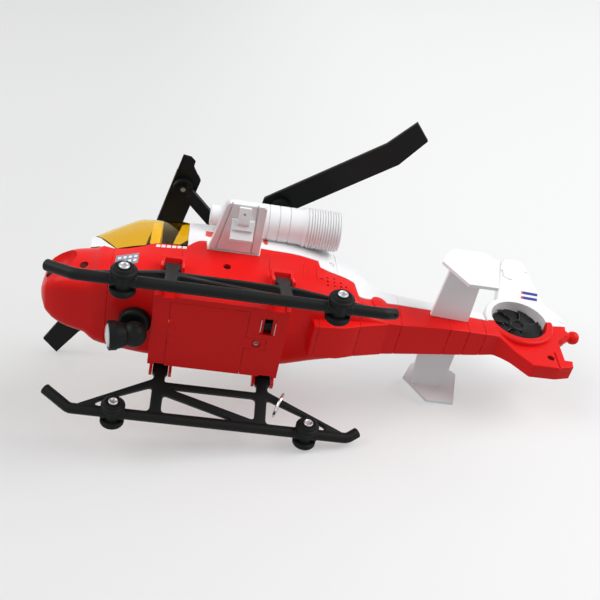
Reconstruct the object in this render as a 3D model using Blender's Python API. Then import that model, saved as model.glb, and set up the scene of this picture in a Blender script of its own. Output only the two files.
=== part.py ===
"""Toy helicopter: two-colour shell on truss skids with small wheels, folding rotor and ducted tail fan.

The nose points to -X, the left side to -Y, and the wheels stand on Z = 0.
Numbers are millimetres until the helpers below turn them into metres.
"""

import math

import bmesh
import bpy
from mathutils import Matrix, Vector

MM = 0.001

# Driving dimensions.
HULL_LENGTH = 403.0
HULL_WIDTH = 79.0
HULL_WALL = 2.2
CANOPY_WALL = 1.8
GAP = 0.3
ROTOR_X = -74.5
BLADE_PIN_Z = 165.0
BLADE_PIN_RADIUS = 57.1
BLADE_DROOP = 7.5
BLADE_REACH = 130.0
BLADE_WIDTH = 20.6
BLADE_THICKNESS = 3.0
ARM_AZIMUTH = 40.8
ARM_WIDTH = 10.0
ARM_THICKNESS = 4.0
BLADE_FOLDS = (0.0, 126.6, 0.0, 40.0)
PIN_R = 1.5
PIN_HEAD_R = 3.4
MAST_R = 4.0
WHEEL_R = 8.75
WHEEL_WIDTH = 6.0
WHEEL_INSET = 5.0
AXLE_R = 1.5
AXLE_HEAD_R = 4.2
SKID_Y = 60.5
SKID_TUBE_R = 4.0
SKID_LEG_WIDTH = 8.5
SKID_PLATE = 5.0
BOX_HALF_WIDTH = 32.0
BOX_BOTTOM = 34.0
BOX_TOP = 60.0
BOX_WALL = 2.2
CELL_R = 7.1
CELL_LENGTH = 50.0
ENGINE_R = 15.5
ENGINE_Y = 46.0
ENGINE_Z = 121.9
WING_Z = 90.0
WING_THICKNESS = 5.0
WING_TIP_Y = 80.0
TAILPLANE_Z = 75.5
TAILPLANE_TIP_Y = 58.0
TAILPLANE_THICKNESS = 3.0
DUCT_Z = 89.0
DUCT_R = 22.5
DUCT_RIM_R = 28.0
DUCT_HALF_DEPTH = 10.0
FAIRING_HALF = 15.0
TAIL_HALF_WIDTH = 6.2
LIGHT_BASE_R = 11.5
LIGHT_BELL_R = 10.5
LIGHT_TILT = 15.0
RING_R = 9.0
RING_WIRE_R = 1.2

# The tail unit is as long as its duct needs; the duct stands this far behind the root.
TAIL_LENGTH = 2 * DUCT_RIM_R + 13.2
DUCT_SETBACK = DUCT_RIM_R + 1.2

# Scales that carry the hull's own sections along with its length and width; the tail unit keeps its size.
KX = (HULL_LENGTH - TAIL_LENGTH) / 333.8
KY = HULL_WIDTH / 79.0

# Red hull sections: x, bottom z and half-width, lower corner half-width and z, widest half-width and z,
# rim half-width and z, and for the closed bonnet its shoulder half-width, shoulder z and crown z.
RED = (
    (-200.0, 59.0, 3.0, 6.0, 63.0, 8.0, 68.0, 7.0, 76.0, 4.0, 79.0, 80.0),
    (-197.5, 54.5, 6.0, 12.0, 60.5, 14.5, 68.0, 13.5, 80.0, 9.0, 85.0, 86.5),
    (-190.0, 51.0, 10.0, 19.0, 59.0, 22.0, 68.0, 21.0, 84.0, 14.0, 92.0, 94.0),
    (-180.0, 48.5, 13.0, 23.0, 59.0, 26.0, 68.0, 25.0, 86.0, 16.0, 96.0, 98.0),
    (-168.0, 46.8, 15.0, 25.5, 58.0, 28.5, 68.0, 28.0, 86.0, 17.0, 98.0, 99.5),
    (-164.5, 46.0, 17.0, 28.5, 56.5, 31.0, 67.0, 30.0, 85.0, 18.0, 97.0, 98.5),
    (-161.0, 45.4, 19.0, 31.0, 55.5, 33.0, 67.0, 31.5, 84.0, None, None, None),
    (-152.0, 45.0, 22.0, 33.0, 55.0, 35.0, 67.0, 32.0, 82.0, None, None, None),
    (-132.0, 44.3, 25.0, 35.5, 54.0, 37.2, 68.0, 35.0, 86.0, None, None, None),
    (-124.0, 44.0, 26.0, 36.0, 54.0, 38.0, 69.0, 36.3, 89.4, None, None, None),
    (-112.0, 44.0, 27.0, 36.5, 54.0, 38.6, 70.5, 37.3, 88.6, None, None, None),
    (-103.5, 44.0, 28.0, 37.0, 54.0, 39.2, 72.0, 38.2, 87.2, None, None, None),
    (-93.5, 44.0, 28.0, 37.1, 54.0, 39.4, 72.0, 38.3, 96.4, None, None, None),
    (-90.0, 44.0, 28.0, 37.2, 54.0, 39.5, 72.0, 38.4, 97.0, None, None, None),
    (-88.6, 44.0, 28.0, 37.2, 54.0, 39.5, 72.0, 38.6, 85.6, None, None, None),
    (-47.0, 44.0, 28.0, 37.2, 54.0, 39.5, 72.0, 38.6, 85.6, None, None, None),
    (-45.6, 44.0, 27.5, 37.2, 54.5, 39.5, 72.0, 38.4, 97.0, None, None, None),
    (-24.0, 48.0, 24.0, 35.5, 58.0, 38.2, 72.0, 37.2, 97.5, None, None, None),
    (-3.0, 50.6, 18.8, 30.8, 59.7, 34.2, 74.0, 33.2, 98.4, None, None, None),
    (-1.5, 50.8, 18.4, 30.4, 59.8, 33.9, 74.0, 32.9, 91.0, None, None, None),
    (25.0, 54.0, 14.5, 24.0, 60.5, 27.5, 70.0, 27.5, 84.5, None, None, None),
    (28.5, 54.4, 14.2, 22.5, 60.5, 25.5, 65.0, 25.5, 71.0, None, None, None),
    (40.0, 55.0, 13.8, 18.0, 59.5, 20.0, 66.5, 20.0, 76.5, None, None, None),
    (55.0, 56.2, 13.8, 15.4, 58.8, 15.8, 70.0, 15.2, 80.5, None, None, None),
    (63.0, 57.2, 13.6, 14.7, 59.4, 14.9, 70.0, 14.4, 81.6, None, None, None),
    (100.0, 61.5, 12.2, 13.2, 63.6, 13.3, 72.0, 12.6, 82.0, None, None, None),
    (128.0, 63.6, 10.2, 11.2, 65.6, 11.3, 74.0, 10.8, 81.8, None, None, None),
    (141.0, 64.6, 8.6, 9.8, 66.6, 10.2, 74.0, 9.9, 82.2, None, None, None),
)

# White hull sections above the rim: x, side half-width and z, shoulder half-width and z,
# roof edge half-width and z, crown z.
WHITE = (
    (-101.5, 37.2, 112.0, 32.0, 130.0, 22.0, 138.0, 140.0),
    (-60.0, 37.4, 112.0, 32.0, 132.0, 22.0, 141.0, 143.0),
    (-20.0, 35.5, 112.0, 30.5, 131.0, 20.0, 140.0, 142.0),
    (0.0, 31.5, 110.0, 27.5, 128.0, 17.5, 137.0, 139.0),
    (28.0, 24.5, 100.0, 20.0, 116.0, 13.0, 123.5, 125.5),
    (40.0, 19.4, 93.0, 16.5, 106.0, 10.5, 112.5, 114.5),
    (55.0, 14.4, 90.0, 12.5, 99.0, 8.0, 103.5, 105.0),
    (100.0, 12.0, 89.0, 10.0, 96.0, 6.5, 99.0, 100.0),
    (137.0, 9.9, 88.0, 8.4, 93.0, 5.5, 96.0, 97.0),
)

# Cabin front sections that the canopy and the cowl are cut from: x, half-width at the foot, then as above.
CABIN = (
    (-180.0, 22.0, 17.0, 98.0, 14.0, 103.0, 10.0, 105.0, 106.0),
    (-172.0, 26.0, 22.0, 102.0, 19.5, 110.0, 14.0, 112.6, 113.5),
    (-152.0, 32.0, 30.0, 104.0, 24.0, 125.0, 17.0, 129.5, 131.0),
    (-136.0, 35.0, 33.5, 108.0, 27.0, 133.0, 19.0, 140.0, 142.0),
    (-120.0, 36.7, 35.2, 110.0, 29.5, 132.0, 20.5, 139.5, 141.5),
    (-102.0, 38.2, 37.2, 112.0, 32.0, 130.0, 22.0, 138.0, 140.0),
    (-92.0, 38.2, 37.2, 112.0, 32.0, 130.0, 22.0, 138.0, 140.0),
)
CABIN_FOOT = 76.0

# Derived positions.
TRUSS_TOP_Y = 46.0 * KY
TRUSS_TOP_Z = 46.0
SKID_Z = WHEEL_R
AXLE_XS = (-139.8 * KX, 2.0 * KX)
LEG_XS = (-110.0 * KX, -33.0 * KX)
BOX_X0 = -120.0 * KX
BOX_X1 = -25.0 * KX
BOX_Y = BOX_HALF_WIDTH * KY
LIGHT_CX = BOX_X0 - LIGHT_BASE_R - 0.5
DOOR_X0 = BOX_X0 + 12.0 * KX
DOOR_X1 = BOX_X1 - 28.0 * KX
DOOR_Y0 = -BOX_Y + 5.0
SCREW_X = DOOR_X1 + 8.2
SWITCH_X = BOX_X1 - 13.5 * KX
TAIL_ROOT = 133.8 * KX
DUCT_CX = TAIL_ROOT + DUCT_SETBACK
ENGINE_CY = ENGINE_Y * KY
ROTOR_CX = ROTOR_X * KX
APEX_Z = BLADE_PIN_Z + BLADE_PIN_RADIUS * math.sin(math.radians(BLADE_DROOP))

for old in list(bpy.data.objects):
    bpy.data.objects.remove(old, do_unlink=True)

PARTS = bpy.data.collections.new("toy_helicopter")
TOOLS = bpy.data.collections.new("cutters")
bpy.context.scene.collection.children.link(PARTS)
bpy.context.scene.collection.children.link(TOOLS)
TOOLS.hide_render = True


def material(name, colour, roughness=0.4, metallic=0.0, alpha=1.0):
    made = bpy.data.materials.new(name)
    made.use_nodes = True
    shader = made.node_tree.nodes["Principled BSDF"]
    shader.inputs["Base Color"].default_value = (*colour, 1.0)
    shader.inputs["Roughness"].default_value = roughness
    shader.inputs["Metallic"].default_value = metallic
    shader.inputs["Alpha"].default_value = alpha
    return made


RED_PLASTIC = material("red_plastic", (0.75, 0.03, 0.03))
WHITE_PLASTIC = material("white_plastic", (0.85, 0.85, 0.87))
BLACK_PLASTIC = material("black_plastic", (0.02, 0.02, 0.02), 0.5)
AMBER_PLASTIC = material("amber_plastic", (0.9, 0.5, 0.05), 0.15, 0.0, 0.6)
STEEL = material("steel", (0.7, 0.7, 0.7), 0.25, 1.0)
CLEAR_PLASTIC = material("clear_plastic", (0.9, 0.9, 0.9), 0.1, 0.0, 0.6)
CELL_COAT = material("cell_coat", (0.2, 0.3, 0.2), 0.35)
BOARD_GREEN = material("board_green", (0.05, 0.3, 0.1), 0.5)


def place(name, mesh, look, origin=None):
    """Adds a mesh as a part, or as a cutter where it has no look."""
    obj = bpy.data.objects.new(name, mesh)
    if origin is not None:
        mesh.transform(Matrix.Translation(-Vector(origin) * MM))
        obj.location = Vector(origin) * MM
    if look is None:
        TOOLS.objects.link(obj)
        obj.hide_render = True
        obj.display_type = "WIRE"
    else:
        PARTS.objects.link(obj)
        mesh.materials.clear()
        mesh.materials.append(look)
    return obj


def finished(name, bm):
    bmesh.ops.remove_doubles(bm, verts=bm.verts, dist=1e-7)
    bmesh.ops.recalc_face_normals(bm, faces=bm.faces)
    mesh = bpy.data.meshes.new(name)
    bm.to_mesh(mesh)
    bm.free()
    return mesh


def box(name, low, high, look=None, origin=None):
    bm = bmesh.new()
    bmesh.ops.create_cube(bm, size=1.0)
    low = Vector(low) * MM
    high = Vector(high) * MM
    bmesh.ops.scale(bm, vec=high - low, verts=bm.verts)
    bmesh.ops.translate(bm, vec=(high + low) / 2, verts=bm.verts)
    return place(name, finished(name, bm), look, origin)


def along(start, direction):
    """A matrix whose Z axis runs along the direction from the start."""
    turn = Vector(direction).to_track_quat("Z", "Y").to_matrix().to_4x4()
    return Matrix.Translation(Vector(start) * MM) @ turn


def turned(name, profile, start, direction, look=None, segments=24, origin=None):
    """Turns a profile of (radius, distance) points about a line through the start."""
    bm = bmesh.new()
    verts = [bm.verts.new((r * MM, 0.0, d * MM)) for r, d in profile]
    edges = [bm.edges.new(pair) for pair in zip(verts, verts[1:])]
    if profile[0][0] > 0 and profile[-1][0] > 0:
        edges.append(bm.edges.new((verts[-1], verts[0])))
    bmesh.ops.spin(
        bm,
        geom=verts + edges,
        cent=(0, 0, 0),
        axis=(0, 0, 1),
        angle=2 * math.pi,
        steps=segments,
        use_merge=True,
    )
    mesh = finished(name, bm)
    mesh.transform(along(start, direction))
    return place(name, mesh, look, origin)


def rod(name, start, direction, radius, length, look=None, segments=24, origin=None):
    profile = [(0.0, 0.0), (radius, 0.0), (radius, length), (0.0, length)]
    return turned(name, profile, start, direction, look, segments, origin)


def curve_mesh(name, curve):
    holder = bpy.data.objects.new(name, curve)
    mesh = bpy.data.meshes.new_from_object(holder)
    bpy.data.objects.remove(holder)
    bm = bmesh.new()
    bm.from_mesh(mesh)
    return finished(name, bm)


def plate(name, outlines, thickness, frame, look=None, origin=None):
    """A flat plate from closed outlines: the first is its edge, the others are holes."""
    curve = bpy.data.curves.new(name, "CURVE")
    curve.dimensions = "2D"
    curve.fill_mode = "BOTH"
    curve.extrude = thickness / 2 * MM
    for outline in outlines:
        spline = curve.splines.new("POLY")
        spline.points.add(len(outline) - 1)
        spline.use_cyclic_u = True
        for point, (u, v) in zip(spline.points, outline):
            point.co = (u * MM, v * MM, 0.0, 1.0)
    mesh = curve_mesh(name, curve)
    mesh.transform(frame)
    return place(name, mesh, look, origin)


def tube(name, points, radius, look=None):
    curve = bpy.data.curves.new(name, "CURVE")
    curve.dimensions = "3D"
    curve.bevel_depth = radius * MM
    curve.bevel_resolution = 2
    curve.use_fill_caps = True
    spline = curve.splines.new("POLY")
    spline.points.add(len(points) - 1)
    for point, where in zip(spline.points, points):
        point.co = (*(Vector(where) * MM), 1.0)
    return place(name, curve_mesh(name, curve), look)


def loft(name, rings, look=None):
    """Skins a row of rings with equal counts and closes both ends."""
    bm = bmesh.new()
    rows = [[bm.verts.new(Vector(p) * MM) for p in ring] for ring in rings]
    count = len(rows[0])
    for first, second in zip(rows, rows[1:]):
        for i in range(count):
            j = (i + 1) % count
            bm.faces.new((first[i], first[j], second[j], second[i]))
    bm.faces.new(rows[0])
    bm.faces.new(rows[-1])
    return place(name, finished(name, bm), look)


def boolean(obj, operation, *tools):
    for tool in tools:
        step = obj.modifiers.new(tool.name, "BOOLEAN")
        step.operation = operation
        step.solver = "EXACT"
        step.object = tool
    return obj


def cut(obj, *tools):
    return boolean(obj, "DIFFERENCE", *tools)


def join(obj, *tools):
    return boolean(obj, "UNION", *tools)


def keep(obj, *tools):
    return boolean(obj, "INTERSECT", *tools)


def both_sides(half, x):
    """A closed ring at x from a half section that starts and ends on the middle plane."""
    right = [(x, y, z) for y, z in half]
    left = [(x, -y, z) for y, z in reversed(half[1:-1])]
    return right + left


def blend(table, x):
    """A table's row at x, by straight lines between its rows."""
    if x <= table[0][0]:
        return table[0]
    for a, b in zip(table, table[1:]):
        if x <= b[0]:
            t = (x - a[0]) / (b[0] - a[0])
            return tuple(u + (v - u) * t for u, v in zip(a, b))
    return table[-1]


RIM = tuple((row[0], row[7], row[8]) for row in RED)


def red_row(x):
    """A red hull section between two open ones."""
    return blend(tuple(row[:9] for row in RED), x) + (None, None, None)


def red_ring(row, grow, open_top=0.0):
    """One red hull section, moved out by grow; an open section also reaches above its rim by open_top."""
    x, zb, wb, wl, zl, wm, zm, ws, zs, wt, zt, zc = row
    wl, wm, ws = wl * KY + grow, wm * KY + grow, ws * KY + grow
    wb = max(min(wb * KY + grow * 0.5, wl - 0.6), 1.0)
    zb = zb - grow
    zl = max(zl, zb + 0.6)
    half = [(0.0, zb), (wb, zb)]
    for t in (1 / 3, 2 / 3):
        y = (1 - t) ** 2 * wb + (1 - (1 - t) ** 2) * wl
        z = (1 - t * t) * zb + t * t * zl
        half.append((y, z))
    half += [(wl, zl), (wm, zm)]
    if zc is None:
        top = zs + open_top
        half += [(ws, zs - 0.01), (0.6 * ws if open_top <= GAP else ws - 0.02, top), (0.0, top)]
    else:
        half += [(ws, zs), (wt * KY + grow * 0.7, zt + grow * 0.7), (0.0, zc + grow)]
    return both_sides(half, x * KX)


def white_rings(grow, foot, first, last):
    """The white hull's sections from first to last, standing foot above the red rim."""
    xs = {row[0] for row in RED + WHITE if first < row[0] < last}
    rings = []
    for x in sorted(xs | {first, last}):
        _, ws, zs = blend(RIM, x)
        _, w1, z1, w2, z2, w3, z3, zr = blend(WHITE, x)
        half = [(0.0, zs + foot), (ws * KY + grow, zs + foot), (w1 * KY + grow, z1)]
        half += [(w2 * KY + grow * 0.9, z2 + grow * 0.4), (w3 * KY + grow * 0.5, z3 + grow * 0.8)]
        half.append((0.0, zr + grow))
        rings.append(both_sides(half, x * KX))
    return rings


def cabin_rings(grow, reach):
    rings = []
    for i, (x, w0, w1, z1, w2, z2, w3, z3, zr) in enumerate(CABIN):
        half = [(0.0, CABIN_FOOT - reach), (w0 * KY + grow, CABIN_FOOT - reach), (w1 * KY + grow, z1)]
        half += [(w2 * KY + grow * 0.9, z2 + grow * 0.4), (w3 * KY + grow * 0.5, z3 + grow * 0.8)]
        half.append((0.0, zr + grow))
        shift = -reach if i == 0 else reach if i == len(CABIN) - 1 else 0.0
        rings.append(both_sides(half, x * KX + shift))
    return rings


def disc(radius, cx, cz, count=32, start=0.0, sweep=360.0):
    closed = abs(sweep - 360.0) < 1e-6
    steps = count if closed else count + 1
    angles = [math.radians(start + sweep * i / count) for i in range(steps)]
    return [(cx + radius * math.cos(a), cz + radius * math.sin(a)) for a in angles]


# Side view frame: the plate's own X and Y run along X and Z, its thickness along Y.
SIDE = Matrix(((1, 0, 0, 0), (0, 0, -1, 0), (0, 1, 0, 0), (0, 0, 0, 1)))


def side_frame(y):
    return Matrix.Translation((0.0, y * MM, 0.0)) @ SIDE


# Truss frame of one skid: u along X, v up the slope from the runner to the hull.
SLOPE = math.atan2(SKID_Y * KY - TRUSS_TOP_Y, TRUSS_TOP_Z - SKID_Z)
RISE = math.hypot(SKID_Y * KY - TRUSS_TOP_Y, TRUSS_TOP_Z - SKID_Z)


def truss_frame(side):
    up = Vector((0.0, -side * math.sin(SLOPE), math.cos(SLOPE)))
    out = Vector((1.0, 0.0, 0.0)).cross(up)
    turn = Matrix(((1, up.x, out.x), (0, up.y, out.y), (0, up.z, out.z))).to_4x4()
    return Matrix.Translation(Vector((0.0, side * SKID_Y * KY, SKID_Z)) * MM) @ turn


# Red hull: a closed skin hollowed from inside, then parted on the middle plane.
hull_skin = loft("hull_skin", [red_ring(row, 0.0) for row in RED])
hollow_rows = RED[2:-1] + (red_row(134.0),)
hull_hollow = loft("hull_hollow", [red_ring(row, -HULL_WALL, 6.0) for row in hollow_rows])
bonnet_end = RED[5]
slope_foot = RED[6]
clear_rows = (
    *RED[:6],
    (bonnet_end[0] + 3.0, *bonnet_end[1:]),
    (slope_foot[0] + 3.0, *slope_foot[1:]),
    *RED[7:],
)
hull_clear = loft("hull_clear", [red_ring(row, 2 * GAP, GAP) for row in clear_rows])

TAIL_X0 = TAIL_ROOT - 5.8
TAIL_X1 = TAIL_ROOT + TAIL_LENGTH
SEAM_Z0 = 82.6
SEAM_Z1 = 92.0
KNOB_Z = 87.2


def tail_seam(x):
    return SEAM_Z0 + (SEAM_Z1 - SEAM_Z0) * (x - TAIL_ROOT) / (TAIL_X1 - TAIL_ROOT)


tail_outline = [
    (TAIL_X0, 68.0),
    (TAIL_ROOT + 8.2, 65.0),
    (TAIL_ROOT + 30.8, 40.0),
    (TAIL_ROOT + 51.7, 40.3),
    (TAIL_ROOT + 63.4, 43.6),
    (TAIL_ROOT + 64.8, 50.6),
    (TAIL_ROOT + 58.6, 50.6),
    (TAIL_ROOT + 59.0, 74.2),
    (TAIL_ROOT + 62.2, 77.5),
    (TAIL_X1, 82.5),
    (TAIL_X1, SEAM_Z1 + 8.0),
    (TAIL_ROOT + GAP, SEAM_Z0 + 8.0),
    (TAIL_ROOT + GAP, 78.0),
    (TAIL_X0, 78.0),
]
tail_plate = plate("tail_plate", [tail_outline], 2 * TAIL_HALF_WIDTH, side_frame(0.0))
rim_disc = [disc(DUCT_RIM_R, DUCT_CX, DUCT_Z, 40)]
duct_rim = plate("duct_rim", rim_disc, 2 * DUCT_HALF_DEPTH, side_frame(0.0))
over_seam = plate(
    "over_seam",
    [
        [
            (TAIL_ROOT - 1.0, tail_seam(TAIL_ROOT - 1.0)),
            (TAIL_X1 + 40.0, tail_seam(TAIL_X1 + 40.0)),
            (TAIL_X1 + 40.0, 250.0),
            (TAIL_ROOT - 1.0, 250.0),
        ]
    ],
    80.0,
    side_frame(0.0),
)
under_seam = plate(
    "under_seam",
    [
        [
            (TAIL_ROOT - 9.0, 10.0),
            (TAIL_X1 + 40.0, 10.0),
            (TAIL_X1 + 40.0, tail_seam(TAIL_X1 + 40.0) + GAP + 0.2),
            (TAIL_ROOT - 9.0, tail_seam(TAIL_ROOT - 9.0) + GAP + 0.2),
        ]
    ],
    80.0,
    side_frame(0.0),
)
duct_hole = rod("duct_hole", (DUCT_CX, -40.0, DUCT_Z), (0, 1, 0), DUCT_R, 80.0, segments=48)
box_room = box(
    "box_room",
    (BOX_X0 - GAP, -BOX_Y - GAP, 20.0),
    (BOX_X1 + GAP, BOX_Y + GAP, BOX_TOP + GAP),
)
groove_x = TAIL_ROOT + 51.0
tail_groove = box(
    "tail_groove",
    (groove_x, -20.0, 30.0),
    (groove_x + 1.6, -TAIL_HALF_WIDTH + 1.0, 58.0),
)

# Fairing under the root of the boom, open to the hull inside.
fairing_outline = [
    (-6.0, 51.4),
    (-4.5, 41.8),
    (18.0, 44.3),
    (30.0, 49.0),
    (44.0, 53.0),
    (57.0, 56.6),
    (57.0, 57.6),
    (40.0, 56.1),
    (27.0, 55.4),
]
fairing_room = [(-2.3, 56.0), (-2.0, 44.2), (17.3, 46.6), (29.3, 51.3), (36.0, 53.4), (36.0, 59.0)]
fairing = plate(
    "fairing", [[(x * KX, z) for x, z in fairing_outline]], 2 * FAIRING_HALF * KY, side_frame(0.0)
)
fairing_inside = plate(
    "fairing_inside",
    [[(x * KX, z) for x, z in fairing_room]],
    2 * (FAIRING_HALF * KY - HULL_WALL),
    side_frame(0.0),
)

HEAD_HALF = SKID_LEG_WIDTH / 2 + 1.5
SOCKET_HALF = HEAD_HALF + 2.6
LEG_TOP = RISE + 9.5
SOCKET_ROOF = LEG_TOP + 4.0
POCKET_MOUTH = 12.0
sockets = []
pockets = []
for side in (-1, 1):
    for number, x in enumerate(LEG_XS):
        inner = side * (BOX_Y + 1.4)
        outer = side * (TRUSS_TOP_Y - 0.4)
        block = box(
            f"socket_{number}_{side}",
            (x - SOCKET_HALF, min(inner, outer), 43.6),
            (x + SOCKET_HALF, max(inner, outer), 64.0),
        )
        sockets.append(block)
        half = HEAD_HALF + GAP
        outline = [(x - half, 20.0), (x + half, 20.0), (x + half, SOCKET_ROOF), (x - half, SOCKET_ROOF)]
        pocket_name = f"pocket_{number}_{side}"
        depth = SKID_PLATE + 2 * GAP + POCKET_MOUTH
        outward = Matrix.Translation((0.0, 0.0, -side * POCKET_MOUTH / 2 * MM))
        pockets.append(plate(pocket_name, [outline], depth, truss_frame(side) @ outward))

SCREWS = (
    (-172.0 * KX, 65.0, 28.0 * KY),
    (-72.0 * KX, 68.0, 39.0 * KY),
    (TAIL_ROOT + 47.2, 51.0, TAIL_HALF_WIDTH),
)
SCREW_HOLE_R = 3.2
screw_holes = []
screw_bosses = []
for number, (x, z, half) in enumerate(SCREWS):
    screw_holes.append(
        rod(f"screw_hole_{number}", (x, -half - 5.0, z), (0, 1, 0), SCREW_HOLE_R, 8.6, segments=16)
    )
    screw_bosses.append(
        rod(f"screw_boss_{number}", (x, -half + 1.0, z), (0, 1, 0), SCREW_HOLE_R + 1.8, 7.0, segments=16)
    )

SPEAKER = (2.0 * KX, -25.0 * KY, 82.0)
speaker_seat = rod(
    "speaker_seat",
    (SPEAKER[0], -32.0 * KY, SPEAKER[2]),
    (0, 1, 0),
    6.0,
    7.0 * KY - GAP,
    segments=20,
)
FAR = HULL_LENGTH
left_half = box("left_half", (-FAR, -FAR, -FAR), (FAR, -GAP / 2, FAR))
right_half = box("right_half", (-FAR, GAP / 2, -FAR), (FAR, FAR, FAR))
for name, half in (("hull_left", left_half), ("hull_right", right_half)):
    hull = place(name, hull_skin.data.copy(), RED_PLASTIC)
    cut(hull, hull_hollow)
    cut(hull, box_room)
    join(hull, fairing)
    cut(hull, fairing_inside)
    join(hull, *sockets)
    join(hull, tail_plate, duct_rim)
    cut(hull, *pockets)
    cut(hull, over_seam, duct_hole)
    if half is left_half:
        join(hull, speaker_seat, *screw_bosses[:2])
        cut(hull, tail_groove, *screw_holes)
    keep(hull, half)

for number, (x, z, half) in enumerate(SCREWS):
    turned(
        f"hull_screw_{number + 1}",
        [(0.0, 0.0), (SCREW_HOLE_R - GAP, 0.0), (SCREW_HOLE_R - GAP, 1.6), (0.0, 1.6)],
        (x, -half + 1.7, z),
        (0, 1, 0),
        STEEL,
        16,
    )

turned(
    "tail_knob",
    [(0.0, 0.0), (3.2, 0.0), (3.2, 4.0), (5.2, 4.8), (5.2, 10.3), (4.0, 11.77), (0.0, 11.77)],
    (TAIL_X1 + GAP, 0.0, KNOB_Z),
    (1, 0, 0),
    RED_PLASTIC,
    20,
)

# Belly box, its door, the switch and what the box holds.
belly = box("belly_box", (BOX_X0, -BOX_Y, BOX_BOTTOM), (BOX_X1, BOX_Y, BOX_TOP), RED_PLASTIC)
box_inside = box(
    "box_inside",
    (BOX_X0 + BOX_WALL, -BOX_Y + BOX_WALL, BOX_BOTTOM + BOX_WALL),
    (BOX_X1 - BOX_WALL, BOX_Y - BOX_WALL, BOX_TOP + 5.0),
)
door_room = box(
    "door_room",
    (DOOR_X0 - GAP, DOOR_Y0 - GAP, BOX_BOTTOM - 3.0),
    (DOOR_X1 + GAP, BOX_Y + 3.0, BOX_BOTTOM + BOX_WALL + 0.1),
)
TAB_Y0 = -3.9
TAB_Y1 = 6.1
tab_room = box(
    "tab_room",
    (DOOR_X1 - 2.0, TAB_Y0 - GAP, BOX_BOTTOM - 3.0),
    (SCREW_X + 6.8 + GAP, TAB_Y1 + GAP, BOX_BOTTOM + BOX_WALL + 0.1),
)
screw_block = box(
    "screw_block",
    (DOOR_X1 + 1.5, TAB_Y0 - 2.0, BOX_BOTTOM + 1.0),
    (SCREW_X + 9.0, TAB_Y1 + 2.0, BOX_BOTTOM + BOX_WALL + 7.0),
)
screw_bore = rod("screw_bore", (SCREW_X, 1.1, BOX_BOTTOM - 3.0), (0, 0, 1), 2.8, 9.0, segments=16)
SWITCH_Y0 = -23.0 * KY
SWITCH_Y1 = -8.0 * KY
switch_room = box(
    "switch_room",
    (SWITCH_X - 5.5, SWITCH_Y0, BOX_BOTTOM - 3.0),
    (SWITCH_X + 5.5, SWITCH_Y1, BOX_BOTTOM + BOX_WALL + 3.0),
)
cut(belly, box_inside)
join(belly, screw_block)
cut(belly, door_room, tab_room, screw_bore, switch_room)
NOTCH_HALF = 5.3
NOTCH_DEPTH = 1.4
for side in (-1, 1):
    for number, x in enumerate(LEG_XS):
        inner = side * (BOX_Y - NOTCH_DEPTH)
        outer = side * (BOX_Y + 3.0)
        notch = box(
            f"notch_{number}_{side}",
            (x - NOTCH_HALF, min(inner, outer), BOX_BOTTOM - 1.0),
            (x + NOTCH_HALF, max(inner, outer), BOX_BOTTOM + 9.0),
        )
        cut(belly, notch)

door = box(
    "battery_door",
    (DOOR_X0, DOOR_Y0, BOX_BOTTOM),
    (DOOR_X1, BOX_Y, BOX_BOTTOM + BOX_WALL - GAP),
    RED_PLASTIC,
    (DOOR_X0, 0.0, BOX_BOTTOM),
)
door_tab = box(
    "door_tab",
    (DOOR_X1 - 3.0, TAB_Y0, BOX_BOTTOM),
    (SCREW_X + 6.8, TAB_Y1, BOX_BOTTOM + BOX_WALL - GAP),
)
door_hole = rod("door_hole", (SCREW_X, 1.1, BOX_BOTTOM - 2.0), (0, 0, 1), 2.0, 6.0, segments=16)
door_sink = rod("door_sink", (SCREW_X, 1.1, BOX_BOTTOM - 2.0), (0, 0, 1), 3.9, 3.1, segments=20)
join(door, door_tab)
cut(door, door_hole, door_sink)
turned(
    "door_screw",
    [(0.0, 0.1), (3.2, 0.1), (3.5, 0.3), (3.5, 0.8), (1.6, 0.8), (1.6, 3.4), (0.0, 3.4)],
    (SCREW_X, 1.1, BOX_BOTTOM),
    (0, 0, 1),
    STEEL,
    16,
    (SCREW_X, 1.1, BOX_BOTTOM),
)

SWITCH_Y = (SWITCH_Y0 + SWITCH_Y1) / 2
slider = box(
    "power_switch",
    (SWITCH_X - 4.6, SWITCH_Y - 3.2, BOX_BOTTOM + 0.4),
    (SWITCH_X + 4.6, SWITCH_Y + 3.2, BOX_BOTTOM + BOX_WALL + 0.8),
    STEEL,
    (SWITCH_X, SWITCH_Y, BOX_BOTTOM),
)
slider_flange = box(
    "slider_flange",
    (SWITCH_X - 6.8, SWITCH_Y - 3.2, BOX_BOTTOM + BOX_WALL + GAP),
    (SWITCH_X + 6.8, SWITCH_Y + 3.2, BOX_BOTTOM + BOX_WALL + 2.2),
)
join(slider, slider_flange)

CELL_Z = BOX_BOTTOM + BOX_WALL + GAP + CELL_R
CELL_STEP = (DOOR_X1 - DOOR_X0 - 2 * CELL_R - 4.0) / 2
for number in range(3):
    x = DOOR_X0 + CELL_R + 2.0 + CELL_STEP * number
    flip = 1 if number % 2 else -1
    turned(
        f"battery_{number + 1}",
        [
            (0.0, -CELL_LENGTH / 2),
            (CELL_R, -CELL_LENGTH / 2),
            (CELL_R, CELL_LENGTH / 2 - 1.4),
            (2.7, CELL_LENGTH / 2 - 1.4),
            (2.7, CELL_LENGTH / 2),
            (0.0, CELL_LENGTH / 2),
        ],
        (x, 0.0, CELL_Z),
        (0, flip, 0),
        CELL_COAT,
        20,
    )
for name, side in (("contact_left", -1), ("contact_right", 1)):
    near = side * (CELL_LENGTH / 2 + GAP)
    far = side * (BOX_Y - BOX_WALL - GAP)
    box(
        name,
        (DOOR_X0 + 2.0, min(near, far), BOX_BOTTOM + BOX_WALL + GAP + 0.4),
        (DOOR_X1 - 2.0, max(near, far), CELL_Z + CELL_R),
        STEEL,
    )
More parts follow.
